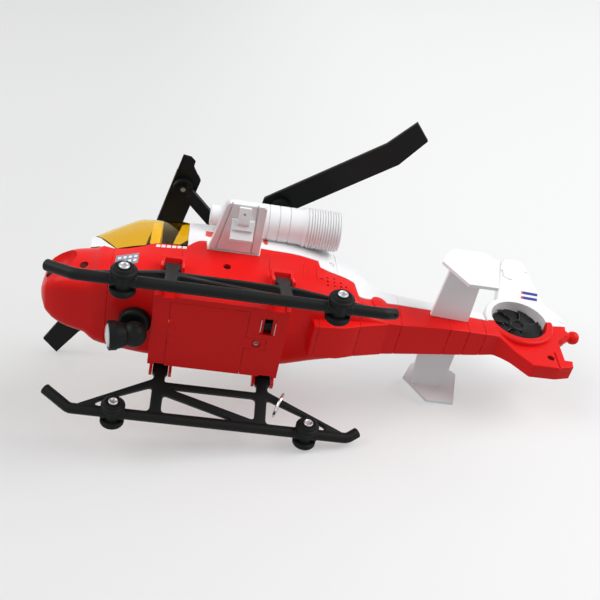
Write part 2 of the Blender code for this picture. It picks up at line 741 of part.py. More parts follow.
box(
    "circuit_board",
    (BOX_X0 + 14.0, -BOX_Y + 0.6, BOX_TOP + GAP),
    (BOX_X1 - 20.0, BOX_Y - 0.6, BOX_TOP + GAP + 1.6),
    BOARD_GREEN,
)
turned(
    "speaker",
    [(0.0, 0.0), (11.5, 0.0), (11.5, 2.0), (7.0, 4.0), (7.0, 7.0), (0.0, 7.0)],
    SPEAKER,
    (0, 1, 0),
    BLACK_PLASTIC,
    24,
)

# White upper hull and tail fin.
upper = loft("upper_hull", white_rings(0.0, GAP, -101.5, 133.5), WHITE_PLASTIC)
upper_hollow = loft("upper_hollow", white_rings(-HULL_WALL, -6.0, -101.5 + 2.4, 128.0))
upper_clear = loft("upper_clear", white_rings(GAP, -30.0, -130.0, 133.5))
mast_hole = rod("mast_hole", (ROTOR_CX, 0.0, 120.0), (0, 0, 1), MAST_R + GAP, 40.0, segments=24)
cut(upper, upper_hollow, mast_hole)

FIN_X0 = TAIL_ROOT + GAP
fin_outline = [
    (FIN_X0, 76.0),
    (FIN_X0 + 69.9, 76.0),
    (FIN_X0 + 70.9, 101.0),
    (FIN_X0 + 68.9, 107.0),
    (FIN_X0 + 59.4, 119.0),
    (FIN_X0 + 56.9, 150.0),
    (FIN_X0 + 54.9, 176.0),
    (FIN_X0 + 50.9, 181.0),
    (FIN_X0 + 37.9, 181.0),
    (FIN_X0 + 32.9, 175.0),
    (FIN_X0 + 22.9, 137.0),
    (FIN_X0 + 13.9, 108.0),
    (FIN_X0, 97.5),
]
fin = plate("tail_fin", [fin_outline], 2 * TAIL_HALF_WIDTH, side_frame(0.0), WHITE_PLASTIC)
join(fin, duct_rim)
cut(fin, under_seam, duct_hole)

# Canopy and the cowl in front of it, which carries the cockpit floor.
cabin = loft("cabin", cabin_rings(0.0, 0.0))
cabin_hollow = loft("cabin_hollow", cabin_rings(-CANOPY_WALL, 8.0))
RIM_XS = (-152.0, -132.0, -124.0, -102.0)
sill = [(x * KX, blend(RIM, x)[2] + GAP + 0.1) for x in RIM_XS]
canopy_outline = [(-171.0 * KX, 111.5), (-171.0 * KX, 160.0), (-102.0 * KX, 160.0)] + sill[::-1]
canopy_side = plate("canopy_side", [canopy_outline], 120.0, side_frame(0.0))
canopy = place("canopy", cabin.data.copy(), AMBER_PLASTIC)
keep(canopy, canopy_side)
cut(canopy, cabin_hollow)

cowl_outline = [
    (-153.0 * KX, sill[0][1] + 0.6),
    (-171.6 * KX, 111.6),
    (-173.0 * KX, 111.6),
    (-170.5 * KX, 80.0),
    (-156.0 * KX, 80.0),
]
tub = plate("cockpit_tub", [cowl_outline], 120.0, side_frame(0.0), WHITE_PLASTIC)
tub_floor = box("tub_floor", (-158.0 * KX, -25.0 * KY, 77.0), (-104.0 * KX, 25.0 * KY, 79.2))
tub_wall = box("tub_wall", (-159.0 * KX, -25.0 * KY, 77.0), (-155.5 * KX, 25.0 * KY, 86.5))
keep(tub, cabin)
cut(tub, hull_clear)
join(tub, tub_wall, tub_floor)

# Engine nacelles, stub wings with their clips, and stabilisers, on both sides.
for name, side in (("left", -1), ("right", 1)):
    engine_profile = [
        (0.0, -88.0),
        (ENGINE_R - 8.5, -88.0),
        (ENGINE_R - 7.7, -87.2),
        (ENGINE_R - 7.7, -78.0),
        (ENGINE_R - 3.0, -77.0),
        (ENGINE_R, -72.5),
        (ENGINE_R, -45.2),
        (ENGINE_R - 0.9, -44.8),
        (ENGINE_R - 0.9, -43.2),
        (ENGINE_R, -42.8),
        (ENGINE_R, 10.2),
        (ENGINE_R - 1.3, 11.5),
        (ENGINE_R - 3.8, 11.5),
        (ENGINE_R - 4.6, 5.0),
        (0.0, 5.0),
    ]
    engine = turned(
        f"engine_{name}",
        [(r, d * KX) for r, d in engine_profile],
        (0.0, side * ENGINE_CY, ENGINE_Z),
        (1, 0, 0),
        WHITE_PLASTIC,
        28,
    )
    cut(engine, upper_clear)
    root = 38.6 * KY + GAP + 0.2
    tip = WING_TIP_Y * KY
    plan = [
        (-87.0 * KX, side * root),
        (-49.0 * KX, side * root),
        (-49.0 * KX, side * (tip - 2.0)),
        (-51.0 * KX, side * tip),
        (-76.0 * KX, side * tip),
        (-78.0 * KX, side * (tip - 2.0)),
    ]
    level = Matrix.Translation((0.0, 0.0, WING_Z * MM))
    wing = plate(f"wing_{name}", [plan], WING_THICKNESS, level, WHITE_PLASTIC)
    under = WING_Z - WING_THICKNESS / 2
    for number, x in enumerate((-74.0, -55.0)):
        groove = box(
            f"wing_groove_{name}_{number}",
            (x * KX - 1.0, min(side * (root + 4.0), side * (tip - 6.0)), under - 4.0),
            (x * KX + 1.0, max(side * (root + 4.0), side * (tip - 6.0)), under + 1.2),
        )
        cut(wing, groove)
    clip_in = side * (tip - 26.5)
    clip_out = side * (tip - 11.5)
    clip = box(
        f"wing_clip_{name}",
        (-73.0 * KX, min(clip_in, clip_out), under - 7.0),
        (-56.5 * KX, max(clip_in, clip_out), under - GAP),
        WHITE_PLASTIC,
    )
    prong_in = side * (tip - 13.0)
    prong_out = side * (tip - 1.5)
    prong = box(
        f"wing_prong_{name}",
        (-69.0 * KX, min(prong_in, prong_out), under - 5.0),
        (-60.3 * KX, max(prong_in, prong_out), under - GAP),
    )
    join(clip, prong)

    front_foot = red_row(87.0)[5] * KY + GAP
    rear_foot = red_row(117.0)[5] * KY + GAP
    end = TAILPLANE_TIP_Y * KY
    plan = [
        (87.0 * KX, side * front_foot),
        (117.0 * KX, side * rear_foot),
        (116.0 * KX, side * end),
        (90.0 * KX, side * end),
    ]
    level = Matrix.Translation((0.0, 0.0, TAILPLANE_Z * MM))
    tailplane = plate(f"stabiliser_{name}", [plan], TAILPLANE_THICKNESS, level, WHITE_PLASTIC)
    fence = [
        (85.0, 82.0),
        (93.0, 98.0),
        (97.0, 101.0),
        (121.0, 101.0),
        (131.0, 92.0),
        (123.0, 57.0),
        (101.0, 57.0),
    ]
    end_plate = plate(
        f"end_plate_{name}",
        [[(x * KX, z) for x, z in fence]],
        2.6,
        side_frame(side * (end + 0.3)),
    )
    join(tailplane, end_plate)

# Tail fan on its axle, held by a three-armed mount on the right side of the duct.
FAN_R = DUCT_R - 1.2
FAN_COUNT = 7
FAN_BLADE = ((0, 6.4), (2, 13.0), (6, FAN_R), (26, FAN_R), (46, FAN_R), (44, 13.0), (44, 6.4))
fan_outline = []
for number in range(FAN_COUNT):
    base = 360.0 / FAN_COUNT * number
    for angle, radius in FAN_BLADE:
        a = math.radians(base + angle)
        fan_outline.append((radius * math.cos(a), radius * math.sin(a)))
fan_place = Matrix.Translation(Vector((DUCT_CX, 0.0, DUCT_Z)) * MM) @ SIDE
fan = plate("tail_fan", [fan_outline], 3.0, fan_place, BLACK_PLASTIC, (DUCT_CX, 0.0, DUCT_Z))
fan_hub = rod("fan_hub", (DUCT_CX, -4.0, DUCT_Z), (0, 1, 0), 7.5, 7.0, segments=24)
fan_bore = rod("fan_bore", (DUCT_CX, -2.4, DUCT_Z), (0, 1, 0), PIN_R + GAP, 20.0, segments=16)
join(fan, fan_hub)
cut(fan, fan_bore)
mount = rod("fan_mount", (DUCT_CX, 4.2, DUCT_Z), (0, 1, 0), 5.5, 3.6, BLACK_PLASTIC, 24)
for number in range(3):
    spoke = box(f"mount_spoke_{number}", (3.0, -1.6, -2.2), (DUCT_R - GAP - 0.1, 1.6, 2.2))
    turn = Matrix.Rotation(math.radians(90.0 + 120.0 * number), 4, "Y")
    spoke.matrix_world = Matrix.Translation(Vector((DUCT_CX, 6.0, DUCT_Z)) * MM) @ turn
    join(mount, spoke)
mount_bore = rod("mount_bore", (DUCT_CX, 2.0, DUCT_Z), (0, 1, 0), PIN_R + GAP, 10.0, segments=16)
cut(mount, mount_bore)
rod("fan_axle", (DUCT_CX, -2.1, DUCT_Z), (0, 1, 0), PIN_R, 10.4, STEEL, 16)

# Main rotor: a coned hub whose arms slope down, with the blades hinged square to their arms.
apex = Vector((ROTOR_CX, 0.0, APEX_Z))
BLADE_HALF = BLADE_THICKNESS / 2
ARM_TOP = -BLADE_HALF - GAP
ARM_END_R = ARM_WIDTH / 2 + 2.6


def arm_matrix(number):
    spin = Matrix.Rotation(-math.radians(ARM_AZIMUTH + 90.0 * number), 4, "Z")
    slope = Matrix.Rotation(math.radians(BLADE_DROOP), 4, "Y")
    return Matrix.Translation(apex * MM) @ spin @ slope


def pin_matrix(number):
    return arm_matrix(number) @ Matrix.Translation((BLADE_PIN_RADIUS * MM, 0.0, 0.0))


hub_foot = (ROTOR_CX, 0.0, APEX_Z - 11.0)
hub = rod("rotor_hub", hub_foot, (0, 0, 1), 13.0, 13.0, BLACK_PLASTIC, 32, apex)
half = ARM_WIDTH / 2
start = math.degrees(math.asin(half / ARM_END_R))
arm_end = disc(ARM_END_R, BLADE_PIN_RADIUS, 0.0, 14, start - 180.0, 360.0 - 2 * start)
arm_outline = [(4.0, half), (4.0, -half)] + arm_end
for number in range(4):
    lift = Matrix.Translation((0.0, 0.0, (ARM_TOP - ARM_THICKNESS / 2) * MM))
    arm = plate(f"rotor_arm_{number + 1}", [arm_outline], ARM_THICKNESS, arm_matrix(number) @ lift)
    hole = rod(f"arm_hole_{number + 1}", (0.0, 0.0, -20.0), (0, 0, 1), PIN_R + GAP, 40.0, segments=16)
    hole.matrix_world = pin_matrix(number)
    join(hub, arm)
    cut(hub, hole)
hub_bore = rod("hub_bore", (ROTOR_CX, 0.0, APEX_Z - 20.0), (0, 0, 1), MAST_R + GAP, 19.0, segments=24)
cut(hub, hub_bore)
ROOF_UNDER = blend(WHITE, ROTOR_X)[7] - HULL_WALL
turned(
    "rotor_mast",
    [
        (0.0, ROOF_UNDER - 12.0),
        (MAST_R, ROOF_UNDER - 12.0),
        (MAST_R, ROOF_UNDER - 5.0),
        (MAST_R + 4.0, ROOF_UNDER - 5.0),
        (MAST_R + 4.0, ROOF_UNDER - 2.5),
        (MAST_R, ROOF_UNDER - 2.5),
        (MAST_R, APEX_Z - 1.6),
        (0.0, APEX_Z - 1.6),
    ],
    (ROTOR_CX, 0.0, 0.0),
    (0, 0, 1),
    STEEL,
    20,
    apex,
)

REACH = BLADE_REACH
ROOT_STEP = -12.0
ROOT_TOP = -0.3
REAR_EDGE = BLADE_WIDTH * 0.5825
FRONT_EDGE = -BLADE_WIDTH * 0.4175
blade_outline = [
    (-28.0, FRONT_EDGE),
    (-28.0, -2.0),
    (-25.0, 2.2),
    (-20.0, 2.6),
    (-8.5, REAR_EDGE),
    (REACH * 0.78, REAR_EDGE),
    (REACH, REAR_EDGE + 5.8),
    (REACH, FRONT_EDGE + 8.6),
    (REACH * 0.78, FRONT_EDGE),
]
for number, fold in enumerate(BLADE_FOLDS):
    flat = Matrix.Identity(4)
    blade = plate(
        f"rotor_blade_{number + 1}",
        [[(p, -q) for p, q in blade_outline], disc(PIN_R + GAP, 0.0, 0.0, 16)],
        BLADE_THICKNESS,
        flat,
        BLACK_PLASTIC,
    )
    turn = Matrix.Rotation(-math.radians(fold), 4, "Z")
    blade.matrix_world = pin_matrix(number) @ turn
    step = box(f"blade_step_{number + 1}", (-40.0, -30.0, ROOT_TOP), (ROOT_STEP, 30.0, 10.0))
    step.matrix_world = pin_matrix(number) @ turn
    cut(blade, step)
    head = BLADE_HALF + GAP
    foot = ARM_TOP - ARM_THICKNESS - GAP
    pin = turned(
        f"blade_pin_{number + 1}",
        [
            (0.0, foot - 1.2),
            (PIN_HEAD_R, foot - 1.2),
            (PIN_HEAD_R, foot),
            (PIN_R, foot),
            (PIN_R, head),
            (PIN_HEAD_R, head),
            (PIN_HEAD_R, head + 1.2),
            (0.0, head + 1.2),
        ],
        (0.0, 0.0, 0.0),
        (0, 0, 1),
        STEEL,
        16,
    )
    pin.matrix_world = pin_matrix(number)

# Skids: a bent runner tube with a flat truss that rises to the hull's sockets.
RUNNER_FRONT = -170.0 * KX
RUNNER_REAR = 33.5 * KX
BAR = 3.1
front_leg, rear_leg = LEG_XS
leg_half = SKID_LEG_WIDTH / 2
bar_top = RISE * 0.70
bar_low = bar_top - 4.8
foot_v = SKID_TUBE_R - 0.4


def line(u0, v0, u1, v1, u):
    return v0 + (v1 - v0) * (u - u0) / (u1 - u0)


def leg_head(x):
    neck = RISE + 2.5
    return [
        (x - leg_half, neck),
        (x - HEAD_HALF, neck + 1.0),
        (x - HEAD_HALF, LEG_TOP),
        (x + HEAD_HALF, LEG_TOP),
        (x + HEAD_HALF, neck + 1.0),
        (x + leg_half, neck),
    ]


gusset = RUNNER_FRONT + 17.0
heel = RUNNER_REAR - 17.5
front_edge = (RUNNER_FRONT + 1.0, 3.0, front_leg - leg_half, bar_top - 1.5)
rear_edge = (rear_leg + leg_half, bar_top - 1.5, RUNNER_REAR - 2.0, 3.6)
middle = (front_leg + leg_half, bar_low - 2.0, rear_leg - leg_half, 2.4)
truss_outline = [
    (RUNNER_FRONT + 1.0, -1.0),
    (RUNNER_FRONT + 1.0, 3.0 + BAR),
    (front_leg - leg_half, line(*front_edge, front_leg - leg_half) + BAR),
    *leg_head(front_leg),
    (front_leg + leg_half, bar_top),
    (rear_leg - leg_half, bar_top),
    *leg_head(rear_leg),
    (rear_leg + leg_half, line(*rear_edge, rear_leg + leg_half) + BAR),
    (RUNNER_REAR - 2.0, 3.6 + BAR),
    (RUNNER_REAR - 2.0, -1.0),
]
front_gap = [
    (gusset, foot_v),
    (front_leg - leg_half, foot_v),
    (front_leg - leg_half, line(*front_edge, front_leg - leg_half) - BAR),
    (gusset, max(line(*front_edge, gusset) - BAR, foot_v + 1.0)),
]
rear_gap = [
    (rear_leg + leg_half, foot_v),
    (heel, foot_v),
    (heel, max(line(*rear_edge, heel) - BAR, foot_v + 1.0)),
    (rear_leg + leg_half, line(*rear_edge, rear_leg + leg_half) - BAR),
]
slant = (middle[3] - middle[1]) / (middle[2] - middle[0])
low_end = middle[0] + (foot_v + BAR - middle[1]) / slant
high_end = middle[0] + (bar_low - BAR - middle[1]) / slant
low_gap = [
    (front_leg + leg_half, foot_v),
    (low_end, foot_v),
    (front_leg + leg_half, middle[1] - BAR),
]
high_gap = [
    (max(high_end, front_leg + leg_half + 1.0), bar_low),
    (rear_leg - leg_half, line(*middle, rear_leg - leg_half) + BAR),
    (rear_leg - leg_half, bar_low),
]
for name, side in (("left", -1), ("right", 1)):
    y = side * SKID_Y * KY
    runner = [
        (RUNNER_FRONT - 20.5, y - side * 4.9, SKID_Z + 12.2),
        (RUNNER_FRONT - 2.5, y - side * 0.6, SKID_Z + 1.4),
        (RUNNER_FRONT + 1.0, y, SKID_Z),
        (RUNNER_REAR - 1.0, y, SKID_Z),
        (RUNNER_REAR + 1.0, y - side * 0.3, SKID_Z + 0.6),
        (RUNNER_REAR + 8.0, y - side * 2.7, SKID_Z + 4.8),
    ]
    skid = tube(f"skid_{name}", runner, SKID_TUBE_R, BLACK_PLASTIC)
    truss = plate(
        f"truss_{name}",
        [truss_outline, front_gap, rear_gap, low_gap, high_gap],
        SKID_PLATE,
        truss_frame(side),
    )
    join(skid, truss)
    for end, x in zip(("front", "rear"), AXLE_XS):
        hole_name = f"axle_hole_{end}_{name}"
        hole = rod(hole_name, (x, y - 20.0, SKID_Z), (0, 1, 0), AXLE_R + GAP, 40.0, segments=16)
        cut(skid, hole)
        centre = (x, y, SKID_Z)
        cap = WHEEL_INSET + WHEEL_WIDTH + GAP
        turned(
            f"axle_{end}_{name}",
            [
                (0.0, -cap - 0.6),
                (2.4, -cap - 0.6),
                (AXLE_HEAD_R, -cap - 1.2),
                (AXLE_HEAD_R, -cap),
                (AXLE_R, -cap),
                (AXLE_R, cap),
                (AXLE_HEAD_R, cap),
                (AXLE_HEAD_R, cap + 1.2),
                (2.4, cap + 0.6),
                (0.0, cap + 0.6),
            ],
            centre,
            (0, 1, 0),
            STEEL,
            16,
            centre,
        )
        for place_name, way in (("inner", -side), ("outer", side)):
            turned(
                f"wheel_{end}_{name}_{place_name}",
                [
                    (AXLE_R + GAP, 0.0),
                    (WHEEL_R - 1.0, 0.0),
                    (WHEEL_R, 1.0),
                    (WHEEL_R, WHEEL_WIDTH * 0.6),
                    (WHEEL_R - 1.4, WHEEL_WIDTH * 0.75),
                    (WHEEL_R - 2.6, WHEEL_WIDTH),
                    (AXLE_R + GAP, WHEEL_WIDTH),
                ],
                (x, y + way * WHEEL_INSET, SKID_Z),
                (0, way, 0),
                BLACK_PLASTIC,
                24,
                centre,
            )

# Searchlight under the nose: a turning base with a stalk, and a bell that tilts between two ears.
NOSE_UNDER = red_row(-132.0)[1]
LIGHT_PIVOT = (LIGHT_CX + 1.0, 0.0, NOSE_UNDER - 17.0)
base_top = NOSE_UNDER - GAP
light_base = rod(
    "light_base",
    (LIGHT_CX, 0.0, base_top - 6.5),
    (0, 0, 1),
    LIGHT_BASE_R,
    6.5,
    BLACK_PLASTIC,
    28,
    (LIGHT_CX, 0.0, base_top),
)
px, _, pz = LIGHT_PIVOT
stalk = box("light_stalk", (px - 4.0, -3.4, pz), (px + 4.0, 3.4, base_top - 4.0))
stalk_end = rod("light_stalk_end", (px, -3.4, pz), (0, 1, 0), 4.6, 6.8, segments=20)
stalk_bore = rod("light_stalk_bore", (px, -10.0, pz), (0, 1, 0), 1.6 + GAP, 20.0, segments=16)
join(light_base, stalk, stalk_end)
cut(light_base, stalk_bore)

tilt = math.radians(LIGHT_TILT)
aim = Vector((-math.cos(tilt), 0.0, -math.sin(tilt)))
head = turned(
    "light_head",
    [
        (0.0, 5.4),
        (7.0, 5.4),
        (LIGHT_BELL_R - 0.5, 12.0),
        (LIGHT_BELL_R, 13.0),
        (LIGHT_BELL_R, 18.0),
        (LIGHT_BELL_R - 1.4, 18.0),
        (LIGHT_BELL_R - 1.8, 13.5),
        (0.0, 10.5),
    ],
    LIGHT_PIVOT,
    aim,
    BLACK_PLASTIC,
    28,
    LIGHT_PIVOT,
)
for number, side in enumerate((-1, 1)):
    ear = rod(f"light_ear_{number}", (px, side * 3.8, pz), (0, side, 0), 4.6, 2.6, segments=20)
    bridge = box(f"light_bridge_{number}", (0.0, -1.1, -4.0), (7.0, 1.1, 4.0))
    face = aim.to_track_quat("X", "Z").to_matrix().to_4x4()
    bridge.matrix_world = Matrix.Translation(Vector((px, side * 5.1, pz)) * MM) @ face
    join(head, ear, bridge)
trunnion = rod("light_trunnion", (px, -6.0, pz), (0, 1, 0), 1.6, 12.0, segments=16)
join(head, trunnion)
turned(
    "light_lens",
    [(0.0, 15.2), (LIGHT_BELL_R - 2.1, 15.2), (LIGHT_BELL_R - 2.0, 16.6), (0.0, 17.4)],
    LIGHT_PIVOT,
    aim,
    CLEAR_PLASTIC,
    24,
    LIGHT_PIVOT,
)

# Chromed ring that hangs on the right skid's rear bar.
RING_X = rear_leg + leg_half + 10.0
ring_v = line(*rear_edge, RING_X)
bar_run = Vector((rear_edge[2] - rear_edge[0], rear_edge[3] - rear_edge[1], 0.0))
hang = truss_frame(1)
ring_pivot = hang @ (Vector((RING_X, ring_v, 0.0)) * MM)
ring_axis = (hang.to_3x3() @ bar_run).normalized()
drop = Vector((0.0, 0.0, -1.0))
drop = (drop - ring_axis * drop.dot(ring_axis)).normalized()
ring_room = RING_R - RING_WIRE_R
ring_centre = ring_pivot / MM + drop * (ring_room - 4.6)
bm = bmesh.new()
loop = disc(RING_WIRE_R, RING_R, 0.0, 8)
verts = [bm.verts.new((r * MM, 0.0, d * MM)) for r, d in loop]
edges = [bm.edges.new((verts[i], verts[(i + 1) % 8])) for i in range(8)]
bmesh.ops.spin(
    bm,
    geom=verts + edges,
    cent=(0, 0, 0),
    axis=(0, 0, 1),
    angle=2 * math.pi,
    steps=28,
    use_merge=True,
)
ring_mesh = finished("hook_ring", bm)
ring_mesh.transform(along(ring_centre, ring_axis))
place("hook_ring", ring_mesh, STEEL, ring_pivot / MM)
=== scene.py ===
"""Toy helicopter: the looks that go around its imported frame, laid out as an add-on.

The nose points to -X, the left side to -Y, and the wheels stand on Z = 0. Sizes are millimetres until MM
turns them into metres.
"""

import math

import bmesh
import bpy
from bpy.props import FloatProperty, FloatVectorProperty, IntProperty, PointerProperty
from mathutils import Matrix, Vector


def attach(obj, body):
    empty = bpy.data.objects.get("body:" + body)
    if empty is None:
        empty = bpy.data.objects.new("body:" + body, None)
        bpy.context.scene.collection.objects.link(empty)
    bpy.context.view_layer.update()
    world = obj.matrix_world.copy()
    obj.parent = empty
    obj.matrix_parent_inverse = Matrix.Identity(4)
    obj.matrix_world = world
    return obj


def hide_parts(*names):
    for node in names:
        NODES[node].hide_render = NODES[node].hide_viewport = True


bl_info = {
    "name": "Toy Helicopter",
    "version": (1, 0, 0),
    "blender": (4, 5, 0),
    "location": "View3D > Sidebar > Toy Helicopter",
    "description": "Dresses the packed frame of a toy helicopter with shells, decals and finishes",
    "category": "Add Mesh",
}

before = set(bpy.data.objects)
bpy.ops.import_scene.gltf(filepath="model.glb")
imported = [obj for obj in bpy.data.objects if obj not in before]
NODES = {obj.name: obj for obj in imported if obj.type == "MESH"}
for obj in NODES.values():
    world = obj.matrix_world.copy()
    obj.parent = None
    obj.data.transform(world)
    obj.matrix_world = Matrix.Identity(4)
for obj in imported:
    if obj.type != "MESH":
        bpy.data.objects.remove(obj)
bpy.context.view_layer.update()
MM = 0.001
# Degrees between two faces: shading breaks at an edge above SHARP, and softened() rounds one above HARD_EDGE.
SHARP = 38.0
HARD_EDGE = 32.0

# Red shell sections: x, bottom z and half-width, lower corner half-width and z, widest half-width and z,
# rim half-width and z, shoulder half-width and z, crown z.
RED = (
    (-200.0, 59.0, 3.0, 6.0, 63.0, 8.0, 68.0, 8.0, 78.5, 5.5, 83.5, 85.0),
    (-197.5, 54.5, 6.0, 12.0, 60.5, 14.5, 68.0, 14.0, 82.0, 10.0, 89.0, 90.6),
    (-190.0, 51.0, 10.0, 19.0, 59.0, 22.0, 68.0, 21.0, 84.0, 14.0, 92.0, 94.0),
    (-180.0, 48.5, 13.0, 23.0, 59.0, 26.0, 68.0, 25.0, 86.0, 16.0, 96.0, 98.0),
    (-168.0, 46.8, 15.0, 25.5, 58.0, 28.5, 68.0, 28.0, 86.0, 17.0, 98.0, 99.5),
    (-164.5, 46.0, 17.0, 28.5, 56.5, 31.0, 67.0, 30.0, 85.0, 18.0, 97.0, 98.5),
    (-161.0, 45.4, 19.0, 31.0, 55.5, 33.0, 67.0, 31.5, 84.0, 19.0, 84.0, 84.0),
    (-152.0, 45.0, 22.0, 33.0, 55.0, 35.0, 67.0, 32.0, 82.0, 19.0, 82.0, 82.0),
    (-132.0, 44.3, 25.0, 35.5, 54.0, 37.2, 68.0, 35.0, 86.0, 21.0, 86.0, 86.0),
    (-124.0, 44.0, 26.0, 36.0, 54.0, 38.0, 69.0, 36.3, 89.4, 21.8, 89.4, 89.4),
    (-112.0, 44.0, 27.0, 36.5, 54.0, 38.6, 70.5, 37.3, 88.6, 22.4, 88.6, 88.6),
    (-103.5, 44.0, 28.0, 37.0, 54.0, 39.2, 72.0, 38.2, 87.2, 22.9, 87.2, 87.2),
    (-93.5, 44.0, 28.0, 37.1, 54.0, 39.4, 72.0, 38.3, 96.4, 23.0, 96.4, 96.4),
    (-88.2, 44.0, 28.0, 37.2, 54.0, 39.5, 72.0, 38.4, 97.0, 23.0, 97.0, 97.0),
    (-87.4, 44.0, 28.0, 37.2, 54.0, 39.5, 72.0, 38.6, 87.1, 23.2, 87.1, 87.1),
    (-48.6, 44.0, 28.0, 37.2, 54.0, 39.5, 72.0, 38.6, 87.1, 23.2, 87.1, 87.1),
    (-47.8, 44.0, 27.5, 37.2, 54.5, 39.5, 72.0, 38.4, 97.0, 23.0, 97.0, 97.0),
    (-24.0, 48.0, 24.0, 35.5, 58.0, 38.2, 72.0, 37.2, 97.5, 22.3, 97.5, 97.5),
    (-3.0, 50.6, 18.8, 30.8, 59.7, 34.2, 74.0, 33.2, 98.4, 19.9, 98.4, 98.4),
    (-1.5, 50.8, 18.4, 30.4, 59.8, 33.9, 74.0, 32.9, 91.0, 19.7, 91.0, 91.0),
    (25.0, 54.0, 14.5, 24.0, 60.5, 27.5, 70.0, 27.5, 84.5, 16.5, 84.5, 84.5),
    (28.5, 54.4, 14.2, 22.5, 60.5, 25.5, 65.0, 25.5, 71.0, 15.3, 71.0, 71.0),
    (40.0, 55.0, 13.8, 18.0, 59.5, 20.0, 66.5, 20.0, 76.5, 12.0, 76.5, 76.5),
    (55.0, 56.2, 13.8, 15.4, 58.8, 15.8, 70.0, 15.2, 80.5, 9.1, 80.5, 80.5),
    (63.0, 57.2, 13.6, 14.7, 59.4, 14.9, 70.0, 14.4, 81.6, 8.6, 81.6, 81.6),
    (100.0, 61.5, 12.2, 13.2, 63.6, 13.3, 72.0, 12.6, 82.0, 7.6, 82.0, 82.0),
    (128.0, 63.6, 10.2, 11.2, 65.6, 11.3, 74.0, 10.8, 81.8, 6.5, 81.8, 81.8),
    (141.0, 64.6, 8.6, 9.8, 66.6, 10.2, 74.0, 9.9, 82.2, 5.9, 82.2, 82.2),
    (147.5, 59.4, 6.9, 7.9, 61.6, 8.2, 74.0, 8.1, 83.4, 4.9, 83.4, 83.4),
    (155.0, 51.2, 5.3, 6.05, 53.4, 6.1, 74.0, 6.1, 84.6, 3.7, 84.6, 84.6),
)
# White shell sections above the rim: x, side half-width and z, shoulder half-width and z, roof half-width
# and z, crown z.
WHITE = (
    (-101.5, 37.2, 112.0, 32.0, 130.0, 22.0, 138.0, 140.0),
    (-60.0, 37.4, 112.0, 32.0, 132.0, 22.0, 141.0, 143.0),
    (-20.0, 35.5, 112.0, 30.5, 131.0, 20.0, 140.0, 142.0),
    (0.0, 31.5, 110.0, 27.5, 128.0, 17.5, 137.0, 139.0),
    (28.0, 24.5, 100.0, 20.0, 116.0, 13.0, 123.5, 125.5),
    (40.0, 19.4, 93.0, 16.5, 106.0, 10.5, 112.5, 114.5),
    (55.0, 14.4, 90.0, 12.5, 99.0, 8.0, 103.5, 105.0),
    (100.0, 12.0, 89.0, 10.0, 96.0, 6.5, 99.0, 100.0),
    (137.0, 9.9, 88.0, 8.4, 93.0, 5.5, 96.0, 97.0),
)
# Cabin sections of the canopy: x, foot half-width, then as the white ones.
CABIN = (
    (-180.0, 22.0, 17.0, 98.0, 14.0, 103.0, 10.0, 105.0, 106.0),
    (-172.0, 26.0, 22.0, 102.0, 19.5, 110.0, 14.0, 112.6, 113.5),
    (-152.0, 32.0, 30.0, 104.0, 24.0, 125.0, 17.0, 129.5, 131.0),
    (-136.0, 35.0, 33.5, 108.0, 27.0, 133.0, 19.0, 140.0, 142.0),
    (-120.0, 36.7, 35.2, 110.0, 29.5, 132.0, 20.5, 139.5, 141.5),
    (-102.0, 38.2, 37.2, 112.0, 32.0, 130.0, 22.0, 138.0, 140.0),
    (-92.0, 38.2, 37.2, 112.0, 32.0, 130.0, 22.0, 138.0, 140.0),
)
CABIN_FOOT = 76.0
WALL = 2.2
CANOPY_WALL = 1.8


class HelicopterColours(bpy.types.PropertyGroup):
    """Colours of the moulded plastics and prints."""

    red: FloatVectorProperty(
        name="Shell red", description="Lower shell, belly box and tail", subtype="COLOR", size=3,
        min=0.0, max=1.0, default=(0.78, 0.012, 0.011),
    )
    white: FloatVectorProperty(
        name="Shell white", description="Upper shell, wings and tail fin", subtype="COLOR", size=3,
        min=0.0, max=1.0, default=(0.86, 0.86, 0.87),
    )
    black: FloatVectorProperty(
        name="Running gear black", description="Skids, rotor, fan and searchlight", subtype="COLOR", size=3,
        min=0.0, max=1.0, default=(0.008, 0.0085, 0.0085),
    )
    amber: FloatVectorProperty(
        name="Canopy amber", description="Clear plastic of the canopy", subtype="COLOR", size=3,
        min=0.0, max=1.0, default=(1.0, 0.725, 0.085),
    )


class HelicopterSizes(bpy.types.PropertyGroup):
    """Small sizes that the frame leaves open."""

    edge: FloatProperty(
        name="Edge radius", description="Round on moulded edges", unit="LENGTH", min=0.0001, max=0.002,
        default=0.0006,
    )
    groove: FloatProperty(
        name="Panel line depth", description="Depth of the lines between panels", unit="LENGTH", min=0.0001,
        max=0.001, default=0.0006,
    )
    ribs: IntProperty(
        name="Exhaust ribs", description="Ribs at the rear of each engine nacelle", min=4, max=20, default=12,
    )


class Value:
    """A socket whose operators add Math nodes."""

    def __init__(self, look, socket):
        self.look = look
        self.socket = socket

    def math(self, operation, first, second):
        return self.look.node("ShaderNodeMath", {"operation": operation}, {0: first, 1: second})

    def __add__(self, other):
        return self.math("ADD", self, other)

    def __radd__(self, other):
        return self.math("ADD", other, self)

    def __sub__(self, other):
        return self.math("SUBTRACT", self, other)

    def __rsub__(self, other):
        return self.math("SUBTRACT", other, self)

    def __mul__(self, other):
        return self.math("MULTIPLY", self, other)

    def __rmul__(self, other):
        return self.math("MULTIPLY", other, self)

    def smooth(self, low, high):
        """0 up to low, 1 from high on and an even curve between."""
        limits = {"Value": self, "From Min": low, "From Max": high}
        return self.look.node("ShaderNodeMapRange", {"interpolation_type": "SMOOTHSTEP"}, limits)


